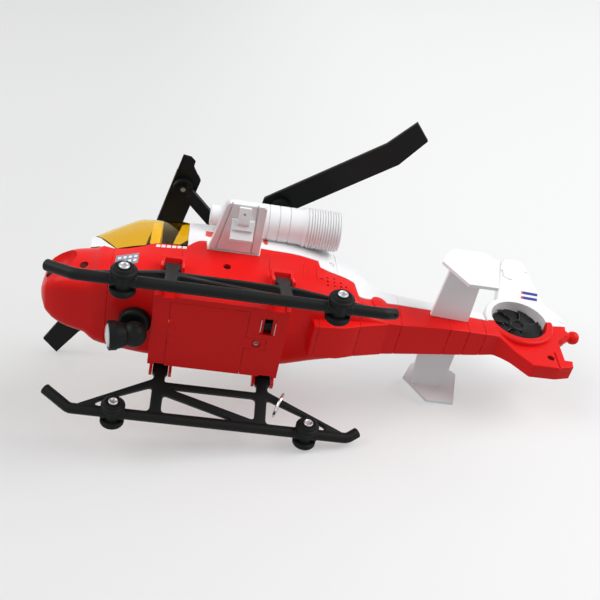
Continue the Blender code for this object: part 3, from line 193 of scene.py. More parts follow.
class Look:
    """A procedural material or world; node() adds any node and gives its output back as a Value."""

    def __init__(self, name, owners="materials", shader="BsdfPrincipled", output="OutputMaterial"):
        self.owner = getattr(bpy.data, owners).new(name)
        self.owner.use_nodes = True
        self.tree = self.owner.node_tree
        self.tree.nodes.clear()
        self.output = self.tree.nodes.new("ShaderNode" + output)
        self.shader = self.node("ShaderNode" + shader)
        self.show(self.shader)

    def node(self, kind, settings=None, inputs=None, output=0):
        made = self.tree.nodes.new(kind)
        for key, value in (settings or {}).items():
            setattr(made, key, value)
        for key, value in (inputs or {}).items():
            self.feed(made.inputs[key], value)
        return Value(self, made.outputs[output])

    def feed(self, socket, value):
        if isinstance(value, Value):
            self.tree.links.new(value.socket, socket)
        elif hasattr(socket.default_value, "__len__") and len(socket.default_value) == 4 and len(value) == 3:
            socket.default_value = (*value, 1.0)
        else:
            socket.default_value = value

    def show(self, surface):
        self.tree.links.new(surface.socket, self.output.inputs["Surface"])

    def set(self, **inputs):
        for key, value in inputs.items():
            self.feed(self.shader.socket.node.inputs[key.replace("_", " ")], value)
        return self

    def place(self):
        return self.node("ShaderNodeTexCoord", output="Object")

    def axis(self, number):
        return self.node("ShaderNodeSeparateXYZ", {}, {0: self.place()}, number)

    def noise(self, scale, detail=3.0, roughness=0.5, stretch=None):
        where = self.place()
        if stretch is not None:
            where = self.node("ShaderNodeMapping", {}, {"Vector": where, "Scale": stretch})
        inputs = {"Vector": where, "Scale": scale, "Detail": detail, "Roughness": roughness}
        return self.node("ShaderNodeTexNoise", {}, inputs, "Fac")

    def edges(self, radius):
        """1 along corners and 0 on open faces."""
        soft = self.node("ShaderNodeBevel", {"samples": 4}, {"Radius": radius}, "Normal")
        face = self.node("ShaderNodeNewGeometry", output="Normal")
        match = self.node("ShaderNodeVectorMath", {"operation": "DOT_PRODUCT"}, {0: soft, 1: face}, "Value")
        return (1.0 - match).smooth(0.03, 0.25)

    def seen(self):
        """1 for rays that see the stage, also by gloss or through clear plastic, and 0 for the rest."""
        rays = ("Is Camera Ray", "Is Glossy Ray", "Is Transmission Ray")
        camera, glossy, through = (self.node("ShaderNodeLightPath", output=ray) for ray in rays)
        return camera + glossy + through

    def mix(self, factor, first, second):
        return self.node("ShaderNodeMix", {"data_type": "RGBA"}, {0: factor, 6: first, 7: second}, 2)

    def blend(self, factor, first, second):
        return self.node("ShaderNodeMixShader", {}, {0: factor, 1: first, 2: second})

    def bump(self, height, strength, distance):
        return self.node("ShaderNodeBump", {}, {"Height": height, "Strength": strength, "Distance": distance})


def scaled(colour, factor):
    return tuple(min(1.0, c * factor) for c in colour)


def plastic(name, colour, rough, grain, rubbed_and_lit_edge_colour, rubbed_and_lit_edge_share=0.35, shine=0.25):
    """Moulded plastic: slight mottling, fine scuffs, a grain, and lighter edges from wear and a painted
    highlight.
    """
    look = Look(name)
    cloud = look.noise(22.0, 4.0)
    scuff = look.noise(900.0, 2.0, 0.6, (1.0, 0.08, 0.35)).smooth(0.62, 0.72)
    scuff = scuff * look.noise(35.0, 2.0).smooth(0.5, 0.7)
    # Edge mask: the edge colour stands partly for rubbed wear and partly for a painted highlight along the
    # corners.
    edge = look.edges(0.0007) * look.noise(260.0, 4.0).smooth(0.4, 0.62)
    base = look.mix(cloud, scaled(colour, 0.93), scaled(colour, 1.06))
    return look.set(
        Base_Color=look.mix(edge * rubbed_and_lit_edge_share + scuff * 0.05, base, rubbed_and_lit_edge_colour),
        Roughness=rough + cloud * 0.06 + scuff * 0.2,
        Normal=look.bump(look.noise(2600.0, 2.0), grain, 0.0001),
        Specular_IOR_Level=shine,
    )


def metal(name, colour, rough, grain):
    """Turned or drawn metal with fine lines and dull patches."""
    look = Look(name)
    lines = look.noise(1800.0, 3.0, 0.6, (1.0, 0.15, 1.0))
    patch = look.noise(180.0, 3.0)
    return look.set(
        Base_Color=look.mix(patch, scaled(colour, 0.82), colour),
        Metallic=1.0,
        Roughness=rough + lines * 0.1 + patch * 0.08,
        Normal=look.bump(lines, grain, 0.0001),
    )


def clear(name, colour, rough, through=1.0, corners=0.0):
    """Clear plastic that tints what is seen through it, with painted shade darkening the tint along its
    corners.
    """
    look = Look(name)
    cloud = look.noise(40.0, 3.0)
    base = look.mix(cloud, scaled(colour, 0.97), scaled(colour, 1.02))
    if corners:
        # Painted shade: a darker, browner tint along the corners.
        painted_corner_shade = scaled((colour[0], colour[1] * 0.6, colour[2] * 0.5), 0.42)
        base = look.mix(look.edges(0.0009) * corners, base, painted_corner_shade)
    return look.set(
        Base_Color=base,
        Roughness=rough + cloud * 0.03,
        IOR=1.2,
        Transmission_Weight=through,
        Normal=look.bump(cloud, 0.03, 0.0002),
    )


# Each finish: its maker, its material's name, its colour or the name of one, its roughness and the maker's
# other values.
FINISHES = {
    "red": (plastic, "red_plastic", "red", 0.26, 0.04, (0.9, 0.4, 0.36), 0.18, 0.11),
    "white": (plastic, "white_plastic", "white", 0.3, 0.05, (0.95, 0.95, 0.96), 0.2),
    "black": (plastic, "black_plastic", "black", 0.4, 0.1, (0.1, 0.1, 0.1), 0.35, 0.15),
    # The fan's pale edge colour at a large share paints highlight lines along the blade edges.
    "fan": (plastic, "fan_black", "black", 0.42, 0.1, (0.3, 0.3, 0.3), 0.9, 0.15),
    "tyre": (plastic, "wheel_black", "tyre", 0.5, 0.3, (0.09, 0.09, 0.09), 0.35, 0.12),
    # The amber's last value darkens its corners: painted shade along the canopy's edges.
    "amber": (clear, "amber_clear", "amber", 0.04, 1.0, 0.85),
    "lens": (clear, "lens_clear", (0.95, 0.97, 0.98), 0.16, 0.45),
    "reflector": (metal, "lamp_reflector", (0.86, 0.87, 0.89), 0.12, 0.05),
    "steel": (metal, "bright_steel", (0.56, 0.56, 0.57), 0.32, 0.15),
    # Dark red steel for the hull screws: painted shade of the holes they sit in.
    "sunk": (metal, "sunk_steel", (0.1, 0.018, 0.016), 0.45, 0.2),
    "gunmetal": (metal, "dark_steel", (0.035, 0.035, 0.037), 0.38, 0.2),
    "dull": (metal, "dull_steel", (0.34, 0.33, 0.31), 0.34, 0.2),
    "chrome": (metal, "chromed_wire", (0.72, 0.73, 0.74), 0.07, 0.03),
    "cell": (plastic, "cell_sleeve", (0.03, 0.08, 0.05), 0.3, 0.04, (0.3, 0.3, 0.3)),
    "board": (plastic, "board_laminate", (0.02, 0.16, 0.05), 0.45, 0.2, (0.3, 0.35, 0.3)),
    "print_white": (plastic, "print_white", (0.8, 0.8, 0.8), 0.35, 0.1, (0.8, 0.8, 0.8)),
    "print_blue": (plastic, "print_blue", (0.03, 0.05, 0.3), 0.35, 0.1, (0.4, 0.4, 0.6)),
    "print_red": (plastic, "print_red", (0.75, 0.08, 0.06), 0.35, 0.1, (0.9, 0.5, 0.5)),
    "foil": (plastic, "print_grey", (0.26, 0.28, 0.34), 0.28, 0.2, (0.5, 0.5, 0.55)),
}
# How far the tyres' colour is scaled down from the running gear black.
TYRE_SHADE = 0.9
LOOKS = {}


def looks(name):
    """The named finish, made on its first use."""
    if name not in LOOKS:
        maker, title, colour, *rest = FINISHES[name]
        tint = bpy.context.scene.helicopter_colours
        if colour == "tyre":
            colour = scaled(tint.black, TYRE_SHADE)
        elif isinstance(colour, str):
            colour = tuple(getattr(tint, colour))
        LOOKS[name] = maker(title, colour, *rest).owner
    return LOOKS[name]


def done(bm, name="mesh"):
    bmesh.ops.remove_doubles(bm, verts=bm.verts, dist=1e-7)
    bmesh.ops.recalc_face_normals(bm, faces=bm.faces)
    mesh = bpy.data.meshes.new(name)
    bm.to_mesh(mesh)
    bm.free()
    return mesh


def finish(mesh, look, sharp):
    mesh.shade_smooth()
    mesh.set_sharp_from_angle(angle=math.radians(sharp))
    mesh.materials.clear()
    mesh.materials.append(looks(look))


def add(name, mesh, look, replaces=(), body="airframe"):
    """Adds a mesh as a piece that rides on a body and stands for the nodes it replaces."""
    mesh.name = name
    finish(mesh, look, SHARP)
    piece = bpy.data.objects.new(name, mesh)
    bpy.context.scene.collection.objects.link(piece)
    weigh = piece.modifiers.new("even_normals", "WEIGHTED_NORMAL")
    weigh.keep_sharp = True
    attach(piece, body)
    if replaces:
        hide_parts(*replaces)


def dress(node, look, sharp=SHARP):
    """Gives a frame node its finish as it is."""
    finish(NODES[node].data, look, sharp)


def carve(mesh, operation, tools):
    """Boolean of a mesh with tools, in order."""
    holders = [bpy.data.objects.new("carve", each) for each in (mesh, *tools)]
    for holder in holders:
        bpy.context.scene.collection.objects.link(holder)
    for tool in holders[1:]:
        step = holders[0].modifiers.new("carve", "BOOLEAN")
        step.operation = operation
        step.solver = "EXACT"
        step.object = tool
    graph = bpy.context.evaluated_depsgraph_get()
    result = bpy.data.meshes.new_from_object(holders[0].evaluated_get(graph))
    for holder in holders:
        bpy.data.objects.remove(holder)
    return result


def cut(mesh, *tools):
    return carve(mesh, "DIFFERENCE", tools)


def join(mesh, *tools):
    return carve(mesh, "UNION", tools)


def keep(mesh, *tools):
    return carve(mesh, "INTERSECT", tools)


def softened(node, radius, segments=2, panels=()):
    """A frame node with panels sunk into the faces that face a way, and its sharper edges rounded."""
    bm = bmesh.new()
    bm.from_mesh(NODES[node].data)
    bmesh.ops.remove_doubles(bm, verts=bm.verts, dist=2e-6)
    bmesh.ops.dissolve_limit(bm, angle_limit=math.radians(1.0), verts=bm.verts, edges=bm.edges)
    for facing, least, border, depth in panels:
        large = [f for f in bm.faces if f.calc_area() > least * MM * MM]
        faces = [f for f in large if f.normal.dot(Vector(facing)) > 0.97]
        bmesh.ops.inset_region(
            bm, faces=faces, thickness=border * MM, depth=-depth * MM, use_even_offset=True, use_boundary=True
        )
    hard = [e for e in bm.edges if e.is_manifold and e.calc_face_angle(0.0) > math.radians(HARD_EDGE)]
    bmesh.ops.bevel(
        bm, geom=hard, offset=radius, offset_type="OFFSET", segments=segments, profile=0.5, affect="EDGES",
        clamp_overlap=True,
    )
    return done(bm)


def at(x, y, z):
    return Matrix.Translation(Vector((x, y, z)) * MM)


def along(start, direction):
    return at(*start) @ Vector(direction).to_track_quat("Z", "Y").to_matrix().to_4x4()


def box(low, high, edge=0.0):
    bm = bmesh.new()
    bmesh.ops.create_cube(bm, size=1.0)
    low = Vector(low) * MM
    high = Vector(high) * MM
    bmesh.ops.scale(bm, vec=high - low, verts=bm.verts)
    bmesh.ops.translate(bm, vec=(high + low) / 2, verts=bm.verts)
    if edge:
        bmesh.ops.bevel(
            bm, geom=bm.edges[:], offset=edge * MM, segments=2, profile=0.5, affect="EDGES",
            clamp_overlap=True,
        )
    return done(bm)


def turned(profile, start, direction, segments=48):
    """Turns (radius, distance) points about a line through the start."""
    bm = bmesh.new()
    verts = [bm.verts.new((r * MM, 0.0, d * MM)) for r, d in profile]
    edges = [bm.edges.new(pair) for pair in zip(verts, verts[1:])]
    if profile[0][0] > 0 and profile[-1][0] > 0:
        edges.append(bm.edges.new((verts[-1], verts[0])))
    bmesh.ops.spin(
        bm, geom=verts + edges, cent=(0, 0, 0), axis=(0, 0, 1), angle=math.tau, steps=segments,
        use_merge=True,
    )
    mesh = done(bm)
    mesh.transform(along(start, direction))
    return mesh


def rod(start, direction, radius, length, segments=32):
    return turned([(0.0, 0.0), (radius, 0.0), (radius, length), (0.0, length)], start, direction, segments)


def from_curve(curve):
    holder = bpy.data.objects.new("curve", curve)
    mesh = bpy.data.meshes.new_from_object(holder)
    bpy.data.objects.remove(holder)
    bm = bmesh.new()
    bm.from_mesh(mesh)
    return done(bm)


def plate(outlines, thickness, matrix, edge=0.0):
    """A flat plate from closed outlines, the first its rim and the others holes, with round edges."""
    curve = bpy.data.curves.new("plate", "CURVE")
    curve.dimensions = "2D"
    curve.fill_mode = "BOTH"
    curve.extrude = (thickness / 2 - edge) * MM
    curve.bevel_depth = edge * MM
    curve.bevel_resolution = 2
    curve.offset = -edge * MM
    for k, outline in enumerate(outlines):
        area = sum(a[0] * b[1] - b[0] * a[1] for a, b in zip(outline, [*outline[1:], outline[0]]))
        if (area > 0) == (k > 0):
            outline = outline[::-1]
        spline = curve.splines.new("POLY")
        spline.points.add(len(outline) - 1)
        spline.use_cyclic_u = True
        for point, (u, v) in zip(spline.points, outline):
            point.co = (u * MM, v * MM, 0.0, 1.0)
    mesh = from_curve(curve)
    mesh.transform(matrix)
    return mesh


def eased(before, corner, after, radius, steps=3):
    """A corner as a curve that starts radius away from it, or less far along a short side."""
    a, c, b = Vector(before), Vector(corner), Vector(after)
    first, last = (c + (p - c) * min(0.45, radius / max((p - c).length, 1e-6)) for p in (a, b))
    places = [i / steps for i in range(steps + 1)]
    return [tuple(first * (1 - t) ** 2 + c * 2 * t * (1 - t) + last * t * t) for t in places]


def bent(points, radius, steps):
    """A line of points with each inner corner rounded."""
    corners = zip(points, points[1:], points[2:])
    return [points[0], *(p for three in corners for p in eased(*three, radius, steps)), points[-1]]


def ring_bent(points, radius):
    """A closed flat outline with every corner rounded."""
    corners = zip([points[-1], *points], points, [*points[1:], points[0]])
    return [p for three in corners for p in eased(*three, radius)]


def tube(points, radius, resolution=4):
    curve = bpy.data.curves.new("tube", "CURVE")
    curve.dimensions = "3D"
    curve.bevel_depth = radius * MM
    curve.bevel_resolution = resolution
    curve.use_fill_caps = True
    spline = curve.splines.new("POLY")
    spline.points.add(len(points) - 1)
    for point, where in zip(spline.points, points):
        point.co = (*(Vector(where) * MM), 1.0)
    return from_curve(curve)


def loft(rings):
    """Skins rings of equal counts and closes both ends."""
    bm = bmesh.new()
    rows = [[bm.verts.new(Vector(p) * MM) for p in ring] for ring in rings]
    count = len(rows[0])
    for first, second in zip(rows, rows[1:]):
        for i in range(count):
            j = (i + 1) % count
            bm.faces.new((first[i], first[j], second[j], second[i]))
    bm.faces.new(rows[0])
    bm.faces.new(rows[-1])
    return done(bm)


def merged(*meshes):
    """Several meshes as one, with no cutting."""
    bm = bmesh.new()
    for mesh in meshes:
        bm.from_mesh(mesh)
    out = bpy.data.meshes.new("merged")
    bm.to_mesh(out)
    bm.free()
    return out


def steady(table, x):
    """A table's row at x by a cubic that never overshoots its rows."""
    if x <= table[0][0]:
        return table[0]
    if x >= table[-1][0]:
        return table[-1]
    k = next(i for i in range(len(table) - 1) if x <= table[i + 1][0])
    xs = [row[0] for row in table]
    h = xs[k + 1] - xs[k]
    t = (x - xs[k]) / h

    def slope(i, c):
        if i in (0, len(table) - 1):
            j = min(i, len(table) - 2)
            return (table[j + 1][c] - table[j][c]) / (xs[j + 1] - xs[j])
        a = (table[i][c] - table[i - 1][c]) / (xs[i] - xs[i - 1])
        b = (table[i + 1][c] - table[i][c]) / (xs[i + 1] - xs[i])
        return 0.0 if a * b <= 0 else 2 * a * b / (a + b)

    row = [x]
    for c in range(1, len(table[0])):
        p0, p1 = table[k][c], table[k + 1][c]
        m0, m1 = slope(k, c) * h, slope(k + 1, c) * h
        value = p0 * (2 * t**3 - 3 * t**2 + 1) + m0 * (t**3 - 2 * t**2 + t)
        value += p1 * (3 * t**2 - 2 * t**3) + m1 * (t**3 - t**2)
        row.append(value)
    return tuple(row)


def straight(table, x):
    """A table's row at x by straight lines."""
    if x <= table[0][0]:
        return table[0]
    for a, b in zip(table, table[1:]):
        if x <= b[0]:
            t = (x - a[0]) / (b[0] - a[0])
            return tuple(u + (v - u) * t for u, v in zip(a, b))
    return table[-1]


def stations(table, first, last, step, extra=()):
    """Places along X: the table's own rows, an even step between them, and any extra ones."""
    count = max(1, round((last - first) / step))
    xs = {round(first + (last - first) * i / count, 3) for i in range(count + 1)}
    xs |= {row[0] for row in table if first < row[0] < last}
    xs = {x for x in xs if all(abs(x - line) > 0.5 for line in extra)} | set(extra)
    out = []
    for x in sorted(xs):
        if not out or x - out[-1] > 0.25:
            out.append(x)
    return out


def mirrored(half, x):
    """A closed ring at x from a half section that starts and ends on the middle plane."""
    return [(x, y, z) for y, z in half] + [(x, -y, z) for y, z in reversed(half[1:-1])]


def red_half(row, grow=0.0):
    _, zb, wb, wl, zl, wm, zm, ws, zs, wt, zt, zc = row
    wl, wm, ws, wt = wl + grow, wm + grow, ws + grow, wt + grow * 0.7
    wb, zb = max(wb + grow * 0.5, 1.0), zb - grow
    zt, zc = zt + grow * 0.7, zc + grow
    closed = min(1.0, max(0.0, (zt - zs) / 8.0))
    half = [(0.0, zb), (wb * 0.5, zb), (wb, zb)]
    for i in range(1, 6):
        t = i / 6
        half.append(((1 - t) ** 2 * wb + (1 - (1 - t) ** 2) * wl, (1 - t * t) * zb + t * t * zl))
    half.append((wl, zl))
    half += eased((wl, zl), (wm, zm), (ws, zs), 6.0)
    half += eased((wm, zm), (ws, zs), (wt, zt), 0.7 + 7.0 * closed)
    half += eased((ws, zs), (wt, zt), (0.0, zc), 0.5 + 8.0 * closed)
    half.append((0.0, zc))
    return half


RIM = tuple((row[0], row[7], row[8]) for row in RED)
RED_LINES = (-153.0, 30.3, 62.7, 101.7, 117.0, 130.8)
WHITE_LINES = (-58.0, 12.0, 63.0, 101.0)
LINE_HALF = 0.45


def line_depths(lines, depth):
    """How far a skin grows at the bottom and both edges of its panel lines, by x."""
    return {x + shift: 0.0 if shift else -depth for x in lines for shift in (-LINE_HALF, 0.0, LINE_HALF)}


def red_skin(depth):
    grow = line_depths(RED_LINES, depth)
    rings = []
    for x in stations(RED, -200.0, 155.0, 4.0, grow):
        rings.append(mirrored(red_half(steady(RED, x), grow.get(x, 0.0)), x))
    tip = [(-201.2, y * 0.55, 68.5 + (z - 68.5) * 0.6) for _, y, z in rings[0]]
    return loft([tip, *rings])


def red_hollow():
    rings = []
    for row in RED[4:-3] + (straight(RED, 134.0),):
        x, zb, wb, wl, zl, wm, zm, ws, zs, wt, zt, zc = row
        g = -WALL
        wb = max(min(wb + g * 0.5, wl + g - 0.6), 1.0)
        zl = max(zl, zb - g + 0.6)
        half = [(0.0, zb - g), (wb, zb - g)]
        for t in (1 / 3, 2 / 3):
            y = (1 - t) ** 2 * wb + (1 - (1 - t) ** 2) * (wl + g)
            half.append((y, (1 - t * t) * (zb - g) + t * t * zl))
        half += [(wl + g, zl), (wm + g, zm)]
        if zt - zs < 1.0:
            half += [(ws + g, zs - 0.01), (ws + g - 0.02, zs + 6.0), (0.0, zs + 6.0)]
        else:
            half += [(ws + g, zs), (wt + g * 0.7, zt + g * 0.7), (0.0, zc + g)]
        rings.append(mirrored(half, x))
    return loft(rings)


def roof_half(foot, sides, grow=0.0):
    (w0, z0), (w1, z1), (w2, z2), (w3, z3), zr = foot, *sides
    p0, p1 = (w0 + grow, z0), (w1 + grow, z1)
    p2, p3 = (w2 + grow * 0.9, z2 + grow * 0.4), (w3 + grow * 0.5, z3 + grow * 0.8)
    top = (0.0, zr + grow)
    half = [(0.0, z0), p0]
    half += eased(p0, p1, p2, 9.0)
    half += eased(p1, p2, p3, 7.0)
    half += eased(p2, p3, top, 6.0)
    half.append(top)
    return half


def white_half(x, grow, foot):
    _, ws, zs = steady(RIM, x)
    _, w1, z1, w2, z2, w3, z3, zr = steady(WHITE, x)
    return roof_half((ws, zs + foot), ((w1, z1), (w2, z2), (w3, z3), zr), grow)


def white_skin(grow, foot, first, last, step, depth=0.0, lines=()):
    sunk = line_depths(lines, depth)
    rings = []
    for x in stations(RED + WHITE, first, last, step, sunk):
        rings.append(mirrored(white_half(x, grow + sunk.get(x, 0.0), foot), x))
    return loft(rings)


def cabin_skin(grow, reach, step):
    rings = []
    for x in stations(CABIN, -180.0, -92.0, step):
        _, w0, w1, z1, w2, z2, w3, z3, zr = steady(CABIN, x)
        shift = -reach if x == -180.0 else reach if x == -92.0 else 0.0
        sides = ((w1, z1), (w2, z2), (w3, z3), zr)
        rings.append(mirrored(roof_half((w0, CABIN_FOOT - reach), sides, grow), x + shift))
    return loft(rings)


SIDES = (("left", -1), ("right", 1))
SIDE = Matrix(((1, 0, 0, 0), (0, 0, -1, 0), (0, 1, 0, 0), (0, 0, 0, 1)))
ACROSS = Matrix(((0, 0, 1, 0), (1, 0, 0, 0), (0, 1, 0, 0), (0, 0, 0, 1)))
GAP = 0.3
DUCT_X = 163.0
DUCT_Z = 89.0
DUCT_R = 22.5
DUCT_RIM_R = 28.0
DUCT_RIM_THICK = 20.0
# Length of a tool that cuts right through the tail.
THROUGH = 80.0
TAIL_ROOT = 133.8
TAIL_END = 203.0
TAIL_HALF = 6.2
TAIL_PLATE = (
    (TAIL_ROOT - 5.8, 68.0), (TAIL_ROOT + 8.2, 65.0), (TAIL_ROOT + 30.8, 40.0), (185.5, 40.3), (197.2, 43.6),
    (198.6, 50.6), (192.4, 50.6), (192.8, 74.2), (196.0, 77.5), (TAIL_END, 82.5), (TAIL_END, 100.0),
    (TAIL_ROOT + GAP, 90.6), (TAIL_ROOT + GAP, 78.0), (TAIL_ROOT - 5.8, 78.0),
)
FIN = (
    (TAIL_ROOT + GAP, 76.0), (204.0, 76.0), (205.0, 101.0), (203.0, 107.0), (193.5, 119.0), (191.0, 150.0),
    (189.0, 176.0), (185.0, 181.0), (172.0, 181.0), (167.0, 175.0), (157.0, 137.0), (148.0, 108.0),
    (TAIL_ROOT + GAP, 97.5),
)
FIN_HOOK = (
    (164.6, 161.5), (166.4, 161.5), (165.6, 153.5), (167.4, 150.3), (171.4, 149.0), (171.0, 147.0),
    (166.0, 148.2), (163.4, 152.4),
)
# Slits in the fin: x, z and turn in radians.
FIN_SLITS = ((187.5, 161.8, 0.45), (201.5, 97.2, 0.55))
FIN_BAR = ((0.0, 0.0), (12.4, -0.9), (11.4, -4.6), (-1.0, -3.7))
FIN_BAR_PLACES = ((176.2, 133.6), (174.2, 126.6))
KNOB_Z = 87.2
# Horn under the knob: x from the tail's end, half-width and half-height.
HORN = (
    (-7.0, 5.8, 11.0), (-4.5, 5.8, 10.2), (-1.5, 5.6, 8.2), (1.0, 4.9, 6.0), (2.8, 4.0, 4.6), (4.6, 3.5, 3.6),
)
LEG_XS = (-110.0, -33.0)
LEG_HALF = 4.25
HEAD_HALF = LEG_HALF + 1.5
SOCKET_HALF = HEAD_HALF + 2.6
SOCKET_Y = (33.4, 45.6)
SOCKET_Z = (43.6, 64.0)
# Flank plate of a socket along its leg, from the truss's top, and its thickness.
FLANK = (-5.0, 6.0)
FLANK_THICK = 8.4
POCKET_FROM = 20.0
POCKET_PAST = 13.5
POCKET_THICK = 23.8
POCKET_OUT = 2.9
BUTTON = ((0.0, -4.0), (7.0, -4.0), (7.0, 0.9), (6.4, 1.4), (1.3, 1.6), (1.0, 1.2), (0.0, 1.2))
BUTTON_AT = (46.0, 17.9, 75.0)
SKID_PLATE = 5.0
SKID_Y = 60.5
SKID_Z = 8.75
SKID_FRONT = -170.0
SKID_REAR = 33.5
SKID_TUBE_R = 4.0
SKID_BEND = 2.6
# Upturned ends of a runner: along, inward and up.
TOE = (-19.8, 4.8, 11.8)
HEEL = (7.4, 2.5, 4.5)
WHEEL_OUT = 5.0
AXLE_XS = {"front": -139.8, "rear": 2.0}
TRUSS_TOP_Y = 46.0
TRUSS_TOP_Z = 46.0
SLOPE = math.atan2(SKID_Y - TRUSS_TOP_Y, TRUSS_TOP_Z - SKID_Z)
RISE = math.hypot(SKID_Y - TRUSS_TOP_Y, TRUSS_TOP_Z - SKID_Z)
BOX_LOW = (-120.0, -32.0, 34.0)
BOX_HIGH = (-25.0, 32.0, 60.0)
SCREWS = ((-172.0, 65.0, 28.0), (-72.0, 68.0, 39.0), (181.0, 51.0, TAIL_HALF))
SCREW_HOLE_R = 2.95
SCREW_HOLE_DEEP = 8.6
FAIRING = (
    (-6.0, 51.4), (-4.5, 41.8), (18.0, 44.3), (30.0, 49.0), (44.0, 53.0), (52.0, 55.2), (52.0, 57.2),
    (40.0, 56.1), (27.0, 55.4),
)
FAIRING_HALF = 15.0
SCOOP_AT = (-190.5, 19.4, 70.5)
SCOOP_HALVES = (10.5, 14.5, 13.5)
# Speaker holes: x and count of each row.
SPEAKER_ROWS = ((-1.5, 1), (3.3, 3), (8.6, 4), (13.8, 3), (17.8, 2))
SPEAKER_PITCH = 4.2
SPEAKER_Z = 75.6
SPEAKER_FALL = 0.16
SPEAKER_HOLE_R = 0.95
# Upright panel lines on the left: x, lower and upper z.
UPRIGHTS = ((-104.6, 62.5, 84.0), (-41.5, 62.5, 84.0), (-15.4, 66.0, 95.0), (-5.2, 66.0, 96.0))
SLIT = 0.35
SIDE_BARS = 6
SIDE_BAR_X = -124.0
SIDE_BAR_PITCH = 3.8
NACELLE_Y = 46.0
NACELLE_Z = 121.9
NACELLE_R = 15.5
NACELLE_LINES = (-44.0, -36.0, -28.0)
RIBS_FROM = -13.5
RIBS_TO = 10.6
RIB_HEIGHT = 1.1
WING_PLAN = ((-87.0, 39.1), (-49.0, 39.1), (-49.0, 78.0), (-51.0, 80.0), (-76.0, 80.0), (-78.0, 78.0))
WING_Z = 90.0
WING_THICK = 5.0
WING_LINE_WIDTH = 1.25
WING_LINE_HEIGHTS = ((87.0, 89.2), (91.4, 93.0))
WING_LINES = (((-73.8, 82.0), (-81.8, 38.0)), ((-55.8, 82.0), (-55.5, 38.0)))
# Blocks of a wing's clip: outline across the wing, middle x and width.
CLIP = (
    (((61.3, 87.2), (53.5, 87.2), (54.0, 78.6), (56.0, 78.4), (61.3, 82.6)), -64.75, 16.5),
    (((68.5, 87.2), (62.0, 87.2), (62.4, 81.2), (68.5, 84.4)), -64.75, 16.5),
    (((66.0, 87.2), (55.0, 87.2), (55.0, 85.6), (66.0, 85.6)), -64.75, 15.0),
    (((78.5, 87.2), (66.0, 87.2), (66.0, 82.2), (68.0, 82.0), (78.5, 85.4)), -64.65, 8.7),
)
APEX = (-74.5, 0.0, 172.453)
DROOP = 7.5
ARM_TURN = 40.8
PIN_RADIUS = 57.1
STUD = ((0.0, 1.5), (1.5, 1.5), (1.5, -0.5), (1.1, -0.9), (0.0, -1.0))
PIN_EYE = ((0.0, 0.6), (1.9, 0.6), (1.9, -0.15), (1.5, -0.4), (0.8, -0.35), (0.5, -0.1), (0.0, -0.1))
FAN_BLADES = 7
FAN_ROOT_R = 6.0
FAN_SPAN = 15.2
FAN_CHORD = 66.0
FAN_SWEEP = 9.0
FAN_PITCH = 3.2
FAN_HALF = 0.6
LIGHT_X = -132.0
PIVOT = (-131.0, 0.0, 27.3)
LIGHT_AIM = (-0.9659, 0.0, -0.2588)


def side_frame(y):
    return at(0.0, y, 0.0) @ SIDE


def flat(outline, thickness, edge=0.0):
    """A plate about the middle plane from an (x, z) outline."""
    return plate([outline], thickness, side_frame(0.0), edge)


def rect(u0, v0, u1, v1):
    return [(u0, v0), (u1, v0), (u1, v1), (u0, v1)]


def disc(radius, cx, cz, count):
    ways = [math.tau * i / count for i in range(count)]
    return [(cx + radius * math.cos(a), cz + radius * math.sin(a)) for a in ways]


def truss_frame(side):
    up = Vector((0.0, -side * math.sin(SLOPE), math.cos(SLOPE)))
    out = Vector((1.0, 0.0, 0.0)).cross(up)
    turn = Matrix(((1, up.x, out.x), (0, up.y, out.y), (0, up.z, out.z))).to_4x4()
    return at(0.0, side * SKID_Y, SKID_Z) @ turn


def tail_seam(x):
    return 82.6 + 9.4 * (x - TAIL_ROOT) / (TAIL_END - TAIL_ROOT)


def past_seam(first, z, lift=0.0):
    """What to cut from a tail piece: all between its seam and a height z."""
    last = TAIL_END + 40.0
    seam = [(x, tail_seam(x) + lift) for x in (first, last)]
    return flat([*seam, (last, z), (first, z)], THROUGH)


def duct_bore():
    return rod((DUCT_X, -THROUGH / 2, DUCT_Z), (0, 1, 0), DUCT_R, THROUGH, 64)


def duct_rim():
    return flat(disc(DUCT_RIM_R, DUCT_X, DUCT_Z, 64), DUCT_RIM_THICK, 1.6)


def half_width(half, z):
    """Half-width of a half section at height z."""
    widths = [0.0]
    for (y0, z0), (y1, z1) in zip(half, half[1:]):
        if z0 != z1 and min(z0, z1) <= z <= max(z0, z1):
            widths.append(y0 + (y1 - y0) * (z - z0) / (z1 - z0))
    return max(widths)


def red_width(x, z):
    return half_width(red_half(steady(RED, x)), z)


def white_width(x, z):
    return half_width(white_half(x, 0.0, GAP), z)


def decal(corners, width, side=-1, lift=0.1, steps=8):
    """A thin print over four (x, z) corners that follows the half-width there."""
    a, b, c, d = (Vector(p) for p in corners)
    rings = []
    for i in range(steps + 1):
        top, low = a.lerp(b, i / steps), d.lerp(c, i / steps)
        places = [top.lerp(low, j / steps) for j in range(steps + 1)]
        outer = [(p.x, side * (width(p.x, p.y) + lift), p.y) for p in places]
        inner = [(p.x, side * (width(p.x, p.y) - 0.3), p.y) for p in reversed(places)]
        rings.append(outer + inner)
    return loft(rings)


